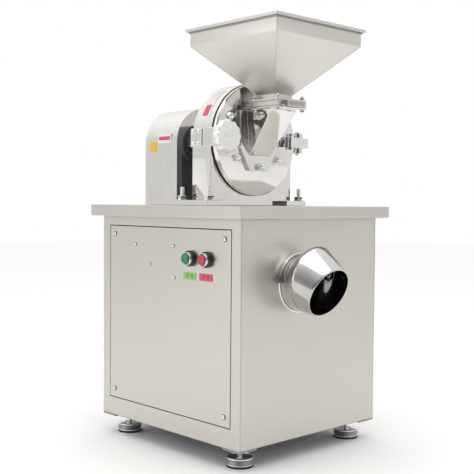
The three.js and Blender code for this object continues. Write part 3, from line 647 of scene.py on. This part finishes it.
def pan_screw(name, spot, along, head, height):
    """Domed screw head: a turned cap with a round socket sunk in it."""
    cap = [(0, 0), (head, 0), (head, height * 0.35), (head * 0.82, height * 0.8), (head * 0.42, height),
           (head * 0.40, height * 0.35), (0, height * 0.35)]
    return lathe(name, cap, spot, along, 24, 0.3)


edge_in, screw_low, screw_high = 19.5, 21, 19
corner_spots = [(y, z) for y in (panel_low[1] + edge_in, panel_high[1] - edge_in)
                for z in (panel_low[2] + screw_low, panel_high[2] - screw_high)]
forward_and_height = [(114, 468), (-26, 470), (60, 425), (-29, 399)]
small_spots = [(middle[1] + forward, z) for forward, z in forward_and_height]
shade_seat_share, shade_seat_high = 1.28, 0.55
screws, shade_seats = [], []
for spots, head, height in ((corner_spots, 4.8, 2.4), (small_spots, 3.4, 1.9)):
    for y, z in spots:
        shade_seat = ring_cut(0, head * shade_seat_share, 0, shade_seat_high)
        shade_seats.append(lathe("shade_seat", shade_seat, (panel_x - skin_gap, y, z), to_left, 32, 0.2))
        screws.append(pan_screw("screw", (panel_x - 0.65, y, z), to_left, head, height))
dress(merged("panel_screws", screws), "cabinet", "chrome")
# The black seats are painted shadow round the screw heads.
dress(merged("panel_screw_shade_seats", shade_seats), "cabinet", "black_plastic")

# %% [markdown]
# A black strip in the gap round the panel paints the shade in the seam: four rectangles, stacked from its
# outer face to its inner one.

# %% Painted shade strip in the panel's gap
strip_outer, strip_inner, strip_front, strip_back = 1.8, 0.2, 0.8, 2.1
panel_wide, panel_tall = panel_high[1] - panel_low[1], panel_high[2] - panel_low[2]
panel_mid = (panel_low + panel_high) / 2
gap_shade_rings = []
for grow, depth in [(strip_outer, strip_back), (strip_outer, strip_front), (strip_inner, strip_front),
                    (strip_inner, strip_back)]:
    flat = rectangle(panel_wide + 2 * grow, panel_tall + 2 * grow, 1.5)
    strip_x = panel_x + depth - skin_gap + 0 * flat[:, 0]
    gap_shade_rings.append(np.stack([strip_x, panel_mid[1] + flat[:, 0], panel_mid[2] + flat[:, 1]], 1))
# The black strip is painted shade in the panel's seam.
dress(from_rings("panel_gap_shade_strip", gap_shade_rings), "cabinet", "rubber")

# %% [markdown]
# A press pushes a hood out over each ventilation slot. Along the slot it bows out by 1 - s^6, and across it
# runs a quarter circle.

# %% Louvre hoods at the back
rear_y = span("rear_skin")[1][1]
hood_lip, hood_rise, hood_wall, hood_half, hood_x = 5.5, 7.0, 0.9, 57, 85
first_slot, slot_pitch, slots_each = 155.6, 18, 7
arc = np.linspace(0, np.pi / 2, 7)[None, :]
bow = np.linspace(-1, 1, 17)[:, None]
swell_out = 1 - bow**6
louvres = []
for side in (-1, 1):
    for row in range(slots_each):
        out = rear_y + 0.1 + hood_lip * np.cos(arc) * swell_out
        up = first_slot + row * slot_pitch + hood_rise * np.sin(arc) * (0.4 + 0.6 * swell_out)
        along_slot = side * hood_x + bow * hood_half + 0 * arc
        outer = np.stack([along_slot, out, up], -1)
        inner_y = np.maximum(out - hood_wall, rear_y + skin_gap)
        inner = np.stack([along_slot, inner_y, up - hood_wall], -1)
        louvres.append(from_rings("hood", np.concatenate([outer, inner[:, ::-1]], 1), capped=True))
dress(merged("louvre_hoods", louvres), "cabinet", "satin_steel")

# %% [markdown]
# The supply cable would enter through a plastic gland, whose nut has fine grip rings.

# %% Cable gland
gland_mid = centre_of("cable_gland")
gland_spot = (gland_mid[0], rear_y, gland_mid[2])
gland_long = span("cable_gland")[1][1] - rear_y
bore, sleeve, sleeve_back = 5, 9, -3.9
grip = [(11.8 - 0.7 * (i % 2), 0.4 + i * 1.1) for i in range(8)]
gland_cut = [(bore, sleeve_back), (sleeve, sleeve_back), (sleeve, 0.35), *grip,
             (11, gland_long * 0.62), (8.8, gland_long * 0.97), (8, gland_long),
             (5.6, gland_long), (bore, gland_long * 0.9)]
gland = lathe("cable_gland_finished", gland_cut, gland_spot, to_back, 32, 0.4)
dress(gland, "cabinet", "black_plastic", "cable_gland")

# %% [markdown]
# ## Push buttons
# A push button is a coloured cap in a bright bezel, on a black collar. The cap moves, so it is a piece of its
# own that rides on its own body, and its face is slightly dished, so that a finger finds it.

# %% Caps, bezels and collars


def push_button(name, colour):
    """Turned cap, bezel and collar, placed by the cap's and the bezel's CAD boxes."""
    spot = (0, *centre_of(name + "_button")[1:])
    cap_low, cap_high = span(name + "_button")
    bezel_low, bezel_high = span(name + "_bezel")
    face, end, front, barrel_end = -cap_low[0], -cap_high[0], -bezel_low[0], -bezel_high[0]
    guide, cap_wide, skirt = 5.3, 11.9, face - 6
    cap = [(0, end), (guide, end), (guide, skirt), (cap_wide, skirt), (cap_wide, face - 1), (10.9, face),
           (9.0, face - 0.3), (8.4, face - 1.2), (7.8, face - 0.5), (4, face - 0.9), (0, face - 1.0)]
    push_cap = lathe(name + "_push_cap", cap, spot, to_left, 64, 0.7)
    dress(push_cap, name + "_cap", colour + "_plastic", name + "_button")
    collar_front, skin_face = front - 6.2, front - 15.9
    bezel_in, bezel_out = 12.4, 15
    bezel = [(bezel_in, collar_front - 2), (13.4, collar_front + 0.1), (bezel_out, collar_front + 0.1),
             (bezel_out, front - 1.8), (14.2, front), (13.2, front), (bezel_in, front - 1.4)]
    bezel_ring = lathe(name + "_bezel_ring", bezel, spot, to_left, 64, 0.6)
    dress(bezel_ring, "cabinet", "chrome", name + "_bezel")
    tube_in, tube_out, collar_wide, recess = 5.9, 11, 17.5, 12.2
    collar = [(tube_in, barrel_end), (tube_out, barrel_end), (tube_out, skin_face), (collar_wide, skin_face),
              (collar_wide, collar_front - 2), (15.6, collar_front - 0.2), (13.2, collar_front - 0.2),
              (recess, collar_front - 2.2), (recess, front - 12), (tube_in, front - 12)]
    dress(lathe(name + "_collar", collar, spot, to_left, 64, 0.6), "cabinet", "black_plastic")
    refined(name + "_contact_block", 1.0)


# %% [markdown]
# Under each button sits a small coloured plate. Two plain darker squares on it stand where a word would be.

# %% Name plates
plate_z, plate_aside, mark_aside = 406, 4, 7.5


def name_plate(name, colour):
    """Coloured plate below a button, with two square marks on it."""
    plate_spot = np.array([panel_x - skin_gap, centre_of(name + "_button")[1] + plate_aside, plate_z])
    plate = slab(name + "_name_plate", rectangle(43, 16, 1.5), 0, 0.7, plate_spot, to_left, 0.2)
    dress(merged(name + "_name_plate", [plate]), "cabinet", "print_" + colour, slot=colour + "_plastic")
    mark_spots = [plate_spot + np.array([-0.75, beside, 0.0]) for beside in (-mark_aside, mark_aside)]
    marks = [slab("mark", rectangle(7, 8, 1), 0, 0.2, mark_spot, to_left, 0.08) for mark_spot in mark_spots]
    dress(merged(name + "_plate_marks", marks), "cabinet", "ink_" + colour, slot=colour + "_plastic")


for name, colour in (("start", "green"), ("stop", "red")):
    push_button(name, colour)
    name_plate(name, colour)

# %% [markdown]
# ## Outlet
# The outlet is a short stub that bells out where it bends down, and then tapers to its mouth. It is a stack
# of tilted circles, each with its place, lean and radius. A smooth blend between the four stations gives the
# pressed sheet its soft shoulder. The pipe has a wall, so the rings go out and come back inside.

# %% Outlet pipe
elbow_low, elbow_high = span("outlet_elbow")
ring_low, ring_high = span("outlet_ring")
pipe_x, pipe_z = (ring_low[0] + ring_high[0]) / 2, (ring_low[2] + ring_high[2]) / 2
wall_y, pipe_wall, stub, bell = ring_high[1] + 0.3, 2.5, 62, 73
stub_reach, bell_reach, bell_rise, mouth_drop = 9, 44, 9, 17
bell_lean, mouth_lean, mouth_radius = math.radians(8), math.radians(26), 58
mouth_y = elbow_low[1] + mouth_radius * math.sin(mouth_lean)
station_y = np.array([elbow_high[1], wall_y - stub_reach, wall_y - bell_reach, mouth_y])
station_z = pipe_z + np.array([0.0, 0.0, bell_rise, -mouth_drop])
station_lean = np.array([0.0, 0.0, bell_lean, mouth_lean])
station_radius = np.array([stub, stub, bell, mouth_radius])
around = np.linspace(0, 2 * np.pi, 96, endpoint=False)


def tilted_ring(at, shrink=0.0, along=0.0):
    """Circle between stations; on the shoulder the blend is 0.35 s + 0.65 (3 s^2 - 2 s^3), else it is s."""
    first = min(int(at), 2)
    s = at - first
    blend = s if first != 1 else 0.35 * s + 0.65 * (3 * s**2 - 2 * s**3)
    z, lean, radius = [row[first] * (1 - blend) + row[first + 1] * blend
                       for row in (station_z, station_lean, station_radius)]
    y = station_y[first] * (1 - s) + station_y[first + 1] * s
    rise = (radius - shrink) * np.sin(around)
    return np.stack([pipe_x + (radius - shrink) * np.cos(around),
                     y - along * math.cos(lean) - rise * math.sin(lean),
                     z - along * math.sin(lean) + rise * math.cos(lean)], 1)


shoulder = [0, 1, *np.linspace(1.1, 1.9, 9), 1.96]
nose = [2.05, *np.linspace(2.15, 2.95, 9)]
lip_in = 0.7
outward = [tilted_ring(at) for at in shoulder + nose]
lip = [tilted_ring(3, 0, -lip_in), tilted_ring(3, lip_in), tilted_ring(3, pipe_wall - lip_in),
       tilted_ring(3, pipe_wall, -lip_in)]
inward = [tilted_ring(at, pipe_wall) for at in (shoulder + nose)[::-1]]
pipe = from_rings("outlet_pipe", outward + lip + inward, sharp=60)
dress(pipe, "cabinet", "outlet_steel", "outlet_elbow", slot="polished_steel")

# %% [markdown]
# A weld bead is a thin tube along a closed path, with a slight ripple where the welder paused.

# %% Weld beads, flange and duct


def bead(name, path, radius, sides=8):
    """Tube along a closed path: a small circle in the plane of the path's radius and of its normal."""
    path = np.asarray(path)
    outwards = path - path.mean(0)
    outwards /= np.linalg.norm(outwards, axis=1, keepdims=True)
    tangent = np.roll(path, -1, 0) - np.roll(path, 1, 0)
    tangent /= np.linalg.norm(tangent, axis=1, keepdims=True)
    side = np.cross(outwards, tangent)
    angle = np.linspace(0, 2 * np.pi, sides, endpoint=False)[:, None, None]
    ripple = radius * (1 + 0.18 * np.sin(np.arange(len(path)) * 2 * np.pi / 4))[None, :, None]
    rings = path[None] + ripple * (np.cos(angle) * outwards[None] + np.sin(angle) * side[None])
    return from_rings(name, rings, sharp=60)


collar_radius, collar_y = stub + 0.4, ring_low[1] - 0.4
collar_ring = np.stack([pipe_x + collar_radius * np.cos(around), 0 * around + collar_y,
                        pipe_z + collar_radius * np.sin(around)], 1)
# Both beads are dark steel: at the bell joint that is the seam's own colour, and at the collar it is painted
# shade along the flange's edge.
welds_and_flange_shade = [bead("weld", collar_ring, 0.9), bead("weld", tilted_ring(2.0, 0.1), 0.8)]
dress(merged("outlet_welds_and_flange_shade", welds_and_flange_shade), "cabinet", "dark_steel", slot="polished_steel")
flange_in, flange_wide, flange_thick = stub + 0.3, (ring_high[0] - ring_low[0]) / 2, 3
flange_cut = [(flange_in, 0), (flange_wide, 0), (flange_wide, 2.0), (flange_wide - 1.2, flange_thick),
              (flange_in, flange_thick)]
flange = lathe("outlet_flange", flange_cut, (pipe_x, ring_high[1], pipe_z), to_front, 96)
dress(flange, "cabinet", "polished_steel", "outlet_ring")
refined("discharge_duct", 0.3, sharp=50)

# %% [markdown]
# ## Grinding head
# The head is a thick ring with a flat left side that stands on two foot plates. Its blocks stay as in the CAD
# model, with broken edges. The foot bolts are added here, because a CAD solid for each would only cost time
# in the motion tests.

# %% Housing, foot plates and inside pieces
head_edges = {"mill_housing": 1.6, "left_foot_plate": 1.4, "right_foot_plate": 1.4, "screen": 0.4,
              "breaker_liner": 0.8, "bearing_housing": 2.5, "spindle": 1.0, "rotor_hub": 1.2,
              "hammer_1": 0.9, "hammer_2": 0.9, "hammer_3": 0.9, "hammer_4": 0.9}
for node, edge in head_edges.items():
    refined(node, edge)

# %% Foot bolts


def bolt(spot, along, size, stud):
    """Hexagon nut on a washer, with the end of its stud above it; the thread is a zigzag of 0.8 mm turns."""
    low, washer_high, turn_high = skin_gap, 1.6, 0.8
    washer = lathe("washer", ring_cut(0, size * 1.15, low, low + washer_high), spot, along, 32, 0.4)
    nut_foot = low + washer_high + skin_gap
    nut_top = nut_foot + size * 0.8
    hexagon = slab("nut", ring_of(6, size), nut_foot, nut_top, spot, along, 0.8)
    rod_foot = nut_top + skin_gap
    thread = [(size * 0.5 - 0.35 * (i % 2), rod_foot + i * turn_high) for i in range(int(stud / turn_high))]
    tip = thread[-1][1] + turn_high
    rod = [(0, rod_foot), *thread, (size * 0.38, tip), (0, tip)]
    return [washer, hexagon, lathe("stud", rod, spot, along, 24, 0.2)]


foot_low, foot_high = span("right_foot_plate")
bolt_x, bolt_in = mill_radius + 16, 11
head_bolts = []
for side in (-1, 1):
    for y in (foot_low[1] + bolt_in, foot_high[1] - bolt_in):
        head_bolts += bolt((side * bolt_x, y, foot_high[2]), upward, 11, 20)
dress(merged("head_bolts", head_bolts), "cabinet", "chrome")

# %% [markdown]
# A bearing shows two races with a shallow recess between them, which one turned shape gives.

# %% Bearings
race_in, race_wide, outer_wide, recess_deep = 15.4, 4, 3.5, 1
for node in ("front_bearing", "rear_bearing"):
    low, high = span(node)
    outer, wide = (high[0] - low[0]) / 2, high[1] - low[1]
    inner_rim, outer_rim = race_in + race_wide, outer - outer_wide
    race = [(race_in, 0), (inner_rim, 0), (inner_rim, recess_deep), (outer_rim, recess_deep), (outer_rim, 0),
            (outer, 0), (outer, wide), (outer_rim, wide), (outer_rim, wide - recess_deep),
            (inner_rim, wide - recess_deep), (inner_rim, wide), (race_in, wide)]
    bearing = lathe(node + "_finished", race, (0, low[1], shaft_z), to_back, 64, 0.3)
    dress(bearing, "cabinet", "chrome", node)

# %% [markdown]
# ## Belt drive
# The pulleys and the belt run inside the guard and the cabinet. A rim has a groove for each rib of the belt.

# %% Guard, pulleys and belt
for node, edge in {"belt_guard": 2.4, "drive_belt": 0.8, "motor_bed": 1.5, "motor_shaft": 0.8}.items():
    refined(node, edge)
shaft_hole, rim_high, lip_high = 12.3, 6, 2.4
for node in ("spindle_pulley", "motor_pulley"):
    low, high = span(node)
    rim, wide = (high[0] - low[0]) / 2, high[1] - low[1]
    drum = rim - rim_high
    grooves = [(drum - 1.2 * (i % 2), 5 + i * (wide - 10) / 12) for i in range(13)]
    web = [(shaft_hole, 0), (shaft_hole + 8, 0), (shaft_hole + 9, 6), (drum - 8, 6),
           (drum - 6, 0), (rim, 0), (rim, lip_high), (drum + 1, 3.6), *grooves,
           (drum + 1, wide - 3.6), (rim, wide - lip_high), (rim, wide), (shaft_hole, wide)]
    pulley = lathe(node + "_finished", web, (0, low[1], (low[2] + high[2]) / 2), to_back, 72)
    dress(pulley, node_body[node], "cast_iron", node)

# %% [markdown]
# The motor's cooling fins are one wave: between the end shields the radius rises and falls round the shell.

# %% Motor
motor_low, motor_high = span("motor")
motor_radius = (motor_high[0] - motor_low[0]) / 2
motor_z = motor_high[2] - motor_radius
motor_long = motor_high[1] - motor_low[1]
fin_from, fin_to, fins, fin_deep = 28, motor_long - 26, 40, 7


def finned(wide, high, turn_by):
    """Cuts the radius back by depth * (half of 1 + cos(fins * angle))^0.5 between the end shields."""
    valley = fin_deep * np.sqrt(0.5 + 0.5 * np.cos(fins * turn_by))
    along_shell = (high > fin_from) & (high < fin_to) & (wide > motor_radius * 0.9)
    return np.where(along_shell, wide - valley, wide), high


shaft_well, well_floor = 12.5, motor_long - 40
stations = np.linspace(fin_from + 1, fin_to - 1, 6)
shell = [(0, 0), (motor_radius - 14, 0), (motor_radius - 6, 6), (motor_radius - 1, 24),
         *[(motor_radius, z) for z in stations], (motor_radius - 1, motor_long - 24),
         (motor_radius - 8, motor_long - 4), (30, motor_long), (shaft_well, motor_long),
         (shaft_well, well_floor), (0, well_floor)]
motor_shell = lathe("shell", shell, (0, motor_low[1], motor_z), to_back, 320, 0.8, finned, sharp=50)
foot_y, foot_x, foot_thick = (motor_low[1] + motor_high[1]) / 2 - 2.5, 58, 22
feet = [slab("foot", rectangle(108, 34, 4), motor_low[2], motor_low[2] + foot_thick,
             (side * foot_x, foot_y, 0), upward, 1.5) for side in (-1, 1)]
dress(merged("motor_finished", [motor_shell, *feet]), "cabinet", "motor_paint", "motor")

# %% [markdown]
# ## Door
# The door is a turned disc with an opening that the chute feeds. To put a square hole in a round plate, each
# ring has the same angles. The distance from the centre is the circle's for the outside and the rectangle's
# for the hole, so every point of one ring has its partner on the next.

# %% Disc
door_low, door_high = span("door_disc")
disc_radius = (door_high[0] - door_low[0]) / 2
face_y, back_y = door_low[1], door_high[1]
hole_half, hole_low, hole_high = 29, 30.5, 58.5
corner_turns = np.arctan2([hole_high, hole_high, -hole_low, -hole_low],
                          [hole_half, -hole_half, -hole_half, hole_half])
turns = np.unique(np.concatenate([np.linspace(-np.pi, np.pi, 192, endpoint=False), corner_turns]))


def round_ring(shrink, y):
    """Circle of the disc's radius less a distance, at a depth y."""
    radius = disc_radius - shrink
    return np.stack([radius * np.cos(turns), 0 * turns + y, shaft_z + radius * np.sin(turns)], 1)


def square_ring(grow, y):
    """Distance along each angle to the side of the opening: the nearer of its upright and its level side."""
    sideways = (hole_half + grow) / np.maximum(np.abs(np.cos(turns)), 1e-6)
    tall = np.where(np.sin(turns) > 0, hole_high + grow, hole_low + grow)
    upright_side = tall / np.maximum(np.abs(np.sin(turns)), 1e-6)
    out_to = np.minimum(sideways, upright_side)
    return np.stack([out_to * np.cos(turns), 0 * turns + y, shaft_z + out_to * np.sin(turns)], 1)


broken, chamfer = 0.6, 3.2
disc_rings = [round_ring(0.5, back_y), round_ring(0, back_y - 0.5),
              round_ring(0, face_y + chamfer), round_ring(0.3, face_y + 2.6),
              round_ring(2.6, face_y + 0.3), round_ring(chamfer, face_y),
              square_ring(broken, face_y), square_ring(0, face_y + broken), square_ring(0, back_y - broken),
              square_ring(broken, back_y)]
door_plate = from_rings("door_plate", disc_rings, sharp=28)
dress(door_plate, "door", "polished_steel", "door_disc")

# %% Gasket
seal_low, seal_high = span("door_seal")
seal_in, seal_radius, seal_wide = 121, (seal_high[0] - seal_low[0]) / 2, seal_high[1] - seal_low[1]
gasket_cut = [(seal_in, 0), (seal_radius, 0), (seal_radius - 0.6, seal_wide / 2), (seal_radius, seal_wide),
              (seal_in, seal_wide)]
gasket = lathe("door_gasket", gasket_cut, (0, seal_low[1], shaft_z), to_back, 128, 0.4)
dress(gasket, "cabinet", "rubber", "door_seal")

# %% [markdown]
# Five acorn nuts close the door's studs. A quarter circle turned over a hexagon makes each dome.

# %% Acorn nuts


def acorn_nut(spot, along, size):
    """Domed nut: a hexagon with a turned cap over it, on a washer."""
    washer_high = 1.3
    hexagon = slab("nut", ring_of(6, size), washer_high, washer_high + size * 0.75, spot, along, 0.8)
    cap_foot, cap_wide = washer_high + size * 0.6, size * 0.83
    angle = np.linspace(0, np.pi / 2, 7)[:-1]
    dome = [(cap_wide * np.cos(a), cap_foot + size * 0.15 + size * 0.62 * np.sin(a)) for a in angle]
    cap_cut = [(0, cap_foot), (cap_wide, cap_foot), *dome, (0, cap_foot + size * 0.77)]
    cap = lathe("cap", cap_cut, spot, along, 32, 0.2)
    washer = lathe("washer", ring_cut(0, size * 1.12, skin_gap, washer_high), spot, along, 32, 0.3)
    return [washer, hexagon, cap]


plate_y = face_y - 10.3
nut_spots = [(68, -43.5, face_y), (-68, -43.5, face_y), (0, -63, plate_y), (90, 52, face_y),
             (-90, 52, face_y)]
door_nuts = []
for x, z, y in nut_spots:
    door_nuts += acorn_nut((x, y, shaft_z + z), to_front, 9.5)
dress(merged("door_nuts", door_nuts), "door", "chrome")

# %% [markdown]
# ## Feed
# The chute, the slide gate and the hopper are one stack that swings with the door. The gate's blade has a
# grip with raised ribs, and small bolts clamp its frame at the top and the bottom.

# %% Chute, gate and hopper
refined("feed_chute", 1.6)
refined("gate_frame", 0.9)
refined("hopper", 1.5, "matt_steel")
refined("slide_gate", 0.8)
gate_low, gate_high = span("gate_frame")
blade_low, blade_high = span("slide_gate")
gate_mid = (gate_low + gate_high) / 2
rib_spots = np.arange(-24, 26, 4)
ribs = []
for x in rib_spots:
    rib_outline = rectangle(1.6, 9.5, 0.6)
    rib_spot = (x, blade_low[1] + 0.1, blade_high[2] - 6.5)
    ribs.append(slab("rib", rib_outline, 0, 0.8, rib_spot, to_front, 0.3, sharp=50))
dress(merged("grip_ribs", ribs), "gate", "satin_steel")

# %% Gate bolts
bolt_half_x, bolt_half_y, above_frame, below_frame = 41, 37, 5.3, 4.3
gate_bolts = []
for side_x in (-1, 1):
    for side_y in (-1, 1):
        x, y = side_x * bolt_half_x, gate_mid[1] + side_y * bolt_half_y
        gate_bolts += bolt((x, y, gate_high[2] + above_frame), upward, 5.5, 4)
        gate_bolts += bolt((x, y, gate_low[2] - below_frame), (0, 0, -1), 5.5, 2.4)
dress(merged("gate_bolts", gate_bolts), "door", "chrome")

# %% [markdown]
# The hopper is a folded square funnel. Its four corners are welded and ground, which leaves a faint raised
# seam, and a dark steel band under its rim paints the shade beneath the rim's overhang.

# %% Hopper seams and painted shade under the rim
hopper_low, hopper_high = span("hopper")
hopper_mid = (hopper_low + hopper_high) / 2
cone_low, cone_high = shaft_z + 101.5, shaft_z + 214.5
narrow, broad, seam_in, seam_radius = 28.5, 140.5, 0.5, 0.9


def tube(name, path, radius, sides=10):
    """Round bar along a straight path of points: a small circle at each point, square to the path."""
    path = np.asarray(path, float)
    across, up = basis(path[-1] - path[0])[1:]
    angle = np.linspace(0, 2 * np.pi, sides, endpoint=False)
    circle = np.cos(angle)[:, None] * across + np.sin(angle)[:, None] * up
    return from_rings(name, path[:, None] + radius * circle[None], capped=True, sharp=60)


share = np.linspace(0.01, 0.99, 60)[:, None]
seams = []
for side_x in (-1, 1):
    for side_y in (-1, 1):
        start, end = [np.array([hopper_mid[0] + side_x * (half - seam_in),
                                hopper_mid[1] + side_y * (half - seam_in), z])
                      for half, z in ((narrow, cone_low), (broad, cone_high))]
        seams.append(tube("seam", start * (1 - share) + end * share, seam_radius))
dress(merged("hopper_seams", seams), "door", "matt_steel", slot="satin_steel")
# The dark band under the rim is painted shade beneath the rim's overhang.
rim_under, rim_shade_in, rim_shade_out = hopper_high[2] - 7.1, 140.7, 143.6
rim_shade_rings = []
for half, z in [(rim_shade_in, rim_under - 3), (rim_shade_out, rim_under - 2.4), (rim_shade_out, rim_under),
                (rim_shade_in, rim_under)]:
    flat = rectangle(2 * half, 2 * half, 2)
    rim_shade_x, rim_shade_y = hopper_mid[0] + flat[:, 0], hopper_mid[1] + flat[:, 1]
    rim_shade_rings.append(np.stack([rim_shade_x, rim_shade_y, 0 * rim_shade_x + z], 1))
dress(from_rings("hopper_rim_shade", rim_shade_rings), "door", "dark_steel", slot="satin_steel")

# %% Stop pin of the gate
pin_spot = (-30, gate_low[1] - 0.1, gate_low[2] + 2.4)
pin_cut = [(0, 0), (2.6, 0), (2.6, 2), (1.7, 3.2), (0, 3.4)]
stop_pin = lathe("stop_pin", pin_cut, pin_spot, to_front, 24, 0.4)
dress(stop_pin, "door", "chrome")

# %% [markdown]
# ## Door lock
# A big cast star knob pulls the door shut. Its rim is a wave of twelve lobes, and each lobe has a small
# dimple on the face. Both come from one turned surface: the wave changes the radius, the dimples the height.

# %% Star knob's shape
refined("lock_lug", 2.2)
refined("door_ear", 2.2)
knob_low, knob_high = span("star_knob")
knob_x, knob_radius = (knob_low[0] + knob_high[0]) / 2, (knob_high[0] - knob_low[0]) / 2
washer_low, washer_high = span("lock_washer")
lobes, lobe_depth, thick = 12, 3.6, 18
rim_from = knob_radius - 13
dimple_at, dimple_wide, dimple_deep = knob_radius - 8, 3.0, 1.1


def starred(wide_by, high, turn_by):
    """Radius less depth * (half of 1 - cos(12 t))^1.4 near the rim; height less a bell-shaped dimple."""
    near_rim = np.clip((wide_by - rim_from) / (knob_radius - rim_from), 0, 1)
    valley = lobe_depth * (0.5 - 0.5 * np.cos(lobes * turn_by)) ** 1.4
    from_lobe = (turn_by * lobes / (2 * np.pi) + 0.5) % 1 - 0.5
    sideways = from_lobe * 2 * np.pi / lobes * wide_by
    dimple = np.exp(-((wide_by - dimple_at) ** 2 + sideways**2) / dimple_wide**2)
    on_face = high > thick * 0.75
    return wide_by - valley * near_rim**1.5, high - np.where(on_face, dimple_deep * dimple, 0)


hub, crown = 12, 0.8
face_radii = np.linspace(hub, knob_radius - 3, 16)
crown_at = np.clip((face_radii - hub) / (knob_radius - 15), 0, 1)
face_crown = thick - crown * np.cos(crown_at * np.pi * 1.2) - crown
knob_shape = [(0, 0), (14, 0), (knob_radius - 4, 0), (knob_radius - 1, 2),
              (knob_radius, 6), (knob_radius, 12), (knob_radius - 1.2, 15.6),
              *zip(face_radii[::-1], face_crown[::-1]), (10, thick - 0.3),
              (8, thick - 0.1), (7, thick - 1.6), (0, thick - 1.6)]
knob_back = knob_low[1] + thick
knob_centre = (knob_x, knob_back, shaft_z)
head = lathe("head", knob_shape, knob_centre, to_front, 288, 0.9, starred, sharp=50)

# %% [markdown]
# Behind its head the knob has a waisted boss and a threaded shank, which are turned too. All three are one
# piece, because they move as one. The washer moves out with the knob but doesn't turn.

# %% Boss, shank and washer
boss_long = washer_low[1] - 0.3 - knob_back
boss_cut = [(0, -0.5), (14, -0.5), (11.5, boss_long * 0.5), (13, boss_long),
            (0, boss_long)]
boss = lathe("boss", boss_cut, knob_centre, to_back, 64, 1.2)
screw_long, shank_radius, thread_step = knob_high[1] - washer_low[1], 6.9, 1
pitches = np.arange(0.4, screw_long - 2, thread_step)
thread = [(shank_radius - 0.7 * (i % 2), z) for i, z in enumerate(pitches)]
shank_cut = [(0, -2), (shank_radius, -2), *thread, (5.4, screw_long), (0, screw_long)]
washer_spot = (knob_x, washer_low[1], shaft_z)
shank = lathe("shank", shank_cut, washer_spot, to_back, 32, 0.2)
knob = merged("star_knob_finished", [head, boss, shank])
dress(knob, "lock_knob", "aluminium", "star_knob")
washer_in, washer_out = 7.5, 14
washer_cut = ring_cut(washer_in, washer_out, 0, washer_high[1] - washer_low[1])
lock_washer = lathe("lock_washer_finished", washer_cut, washer_spot, to_back)
dress(lock_washer, "lock_slider", "chrome", "lock_washer")

# %% Lug screws
lug_low, lug_high = span("lock_lug")
lug_screws = []
for z in (shaft_z - 14, shaft_z + 14):
    for y in (lug_low[1] + 12, lug_high[1] - 9):
        lug_screws.append(pan_screw("cap_screw", (lug_low[0] + skin_gap, y, z), to_left, 4.8, 3.4))
dress(merged("lug_screws", lug_screws), "cabinet", "chrome")

# %% [markdown]
# ## Hinge
# On the other side a plain pin stands in a bracket, and the door's arm turns on it. The pin has a flat head,
# so that it can't drop through.

# %% Bracket, arm and pin
refined("hinge_bracket", 2.0)
refined("hinge_arm", 2.0)
pin_low, pin_high = span("hinge_pin")
pin_radius, pin_head_radius, pin_head = 5, 8, pin_high[2] - 5
hinge_pin_cut = [(0, pin_low[2]), (4, pin_low[2]), (pin_radius, pin_low[2] + 1.4),
                 (pin_radius, pin_head), (pin_head_radius, pin_head), (pin_head_radius, pin_high[2] - 1.6),
                 (6.4, pin_high[2]), (0, pin_high[2])]
hinge_spot = (*centre_of("hinge_pin")[:2], 0)
hinge_pin = lathe("hinge_pin_finished", hinge_pin_cut, hinge_spot, upward, 48, 0.4)
dress(hinge_pin, "cabinet", "chrome", "hinge_pin", slot="dark_steel")
bracket_low, bracket_high = span("hinge_bracket")
screw_x, screw_y = bracket_low[0] + 6.6, bracket_high[1] - 12
bracket_screws = [pan_screw("cap_screw", (screw_x, screw_y, shaft_z + z), (1, 0, 0), 4.5, 3.4)
                  for z in (-14, 14)]
dress(merged("bracket_screws", bracket_screws), "cabinet", "chrome")

# %% [markdown]
# ## Labels
# Small stickers sit where a maker would put a warning. They are left plain, and say nothing.

# %% Stickers on the guard


def sticker(name, finish, centre, width, height, colour_slot, lift=0.0):
    """Thin plate with rounded corners on the guard's left side."""
    outline = rectangle(width, height, 1.5)
    plate = slab(name, outline, lift, lift + 0.3, centre, to_left, 0.1)
    dress(plate, "cabinet", finish, slot=colour_slot)


guard_x, guard_y = span("belt_guard")[0][0] - skin_gap, centre_of("belt_guard")[1]
yellow_at, white_at = (guard_x, guard_y + 31, 708), (guard_x, guard_y - 14, 728)
bar_lift = 0.35
sticker("guard_sticker_yellow", "print_yellow", yellow_at, 30, 27, "green_plastic")
sticker("guard_sticker_white", "print_white", white_at, 52, 24, "rubber")
sticker("guard_sticker_red", "print_red", white_at, 44, 9, "red_plastic", bar_lift)

# %% [markdown]
# The sticker on the housing's round band is rolled with it, so it is a strip of points at a constant distance
# from the shaft.

# %% Bent stickers on the housing's band


def band_strip(name, finish, start, end, y0, y1, lift, colour_slot):
    """Plate rolled on the band: points at radius + lift from the shaft, between two angles in degrees."""
    section = [(lift, y0), (lift + 0.3, y0), (lift + 0.3, y1), (lift, y1)]
    rings = [[((mill_radius + out) * np.cos(a), y, shaft_z + (mill_radius + out) * np.sin(a))
              for out, y in section] for a in np.radians(np.linspace(start, end, 24))]
    dress(from_rings(name, rings, capped=True), "cabinet", finish, slot=colour_slot)


band_margin, bar_margin = 16, 23
band_strip("band_sticker_white", "print_white", 122, 160, housing_low[1] + band_margin,
           housing_high[1] - band_margin, skin_gap, "rubber")
band_strip("band_sticker_red", "print_red", 144, 157, housing_low[1] + bar_margin,
           housing_high[1] - bar_margin, 0.4, "red_plastic")

# %% [markdown]
# ## Last steps
# Every CAD node that no piece stands for would still show, so it gets the finish of its slot.

# %% Leftover nodes
for node, part in frame["nodes"].items():
    if not part.hide_render:
        part.data.materials.clear()
        part.data.materials.append(finishes[node_slot[node]])
        print("kept as the CAD has it:", node)
print("pieces made:", len(made_pieces))
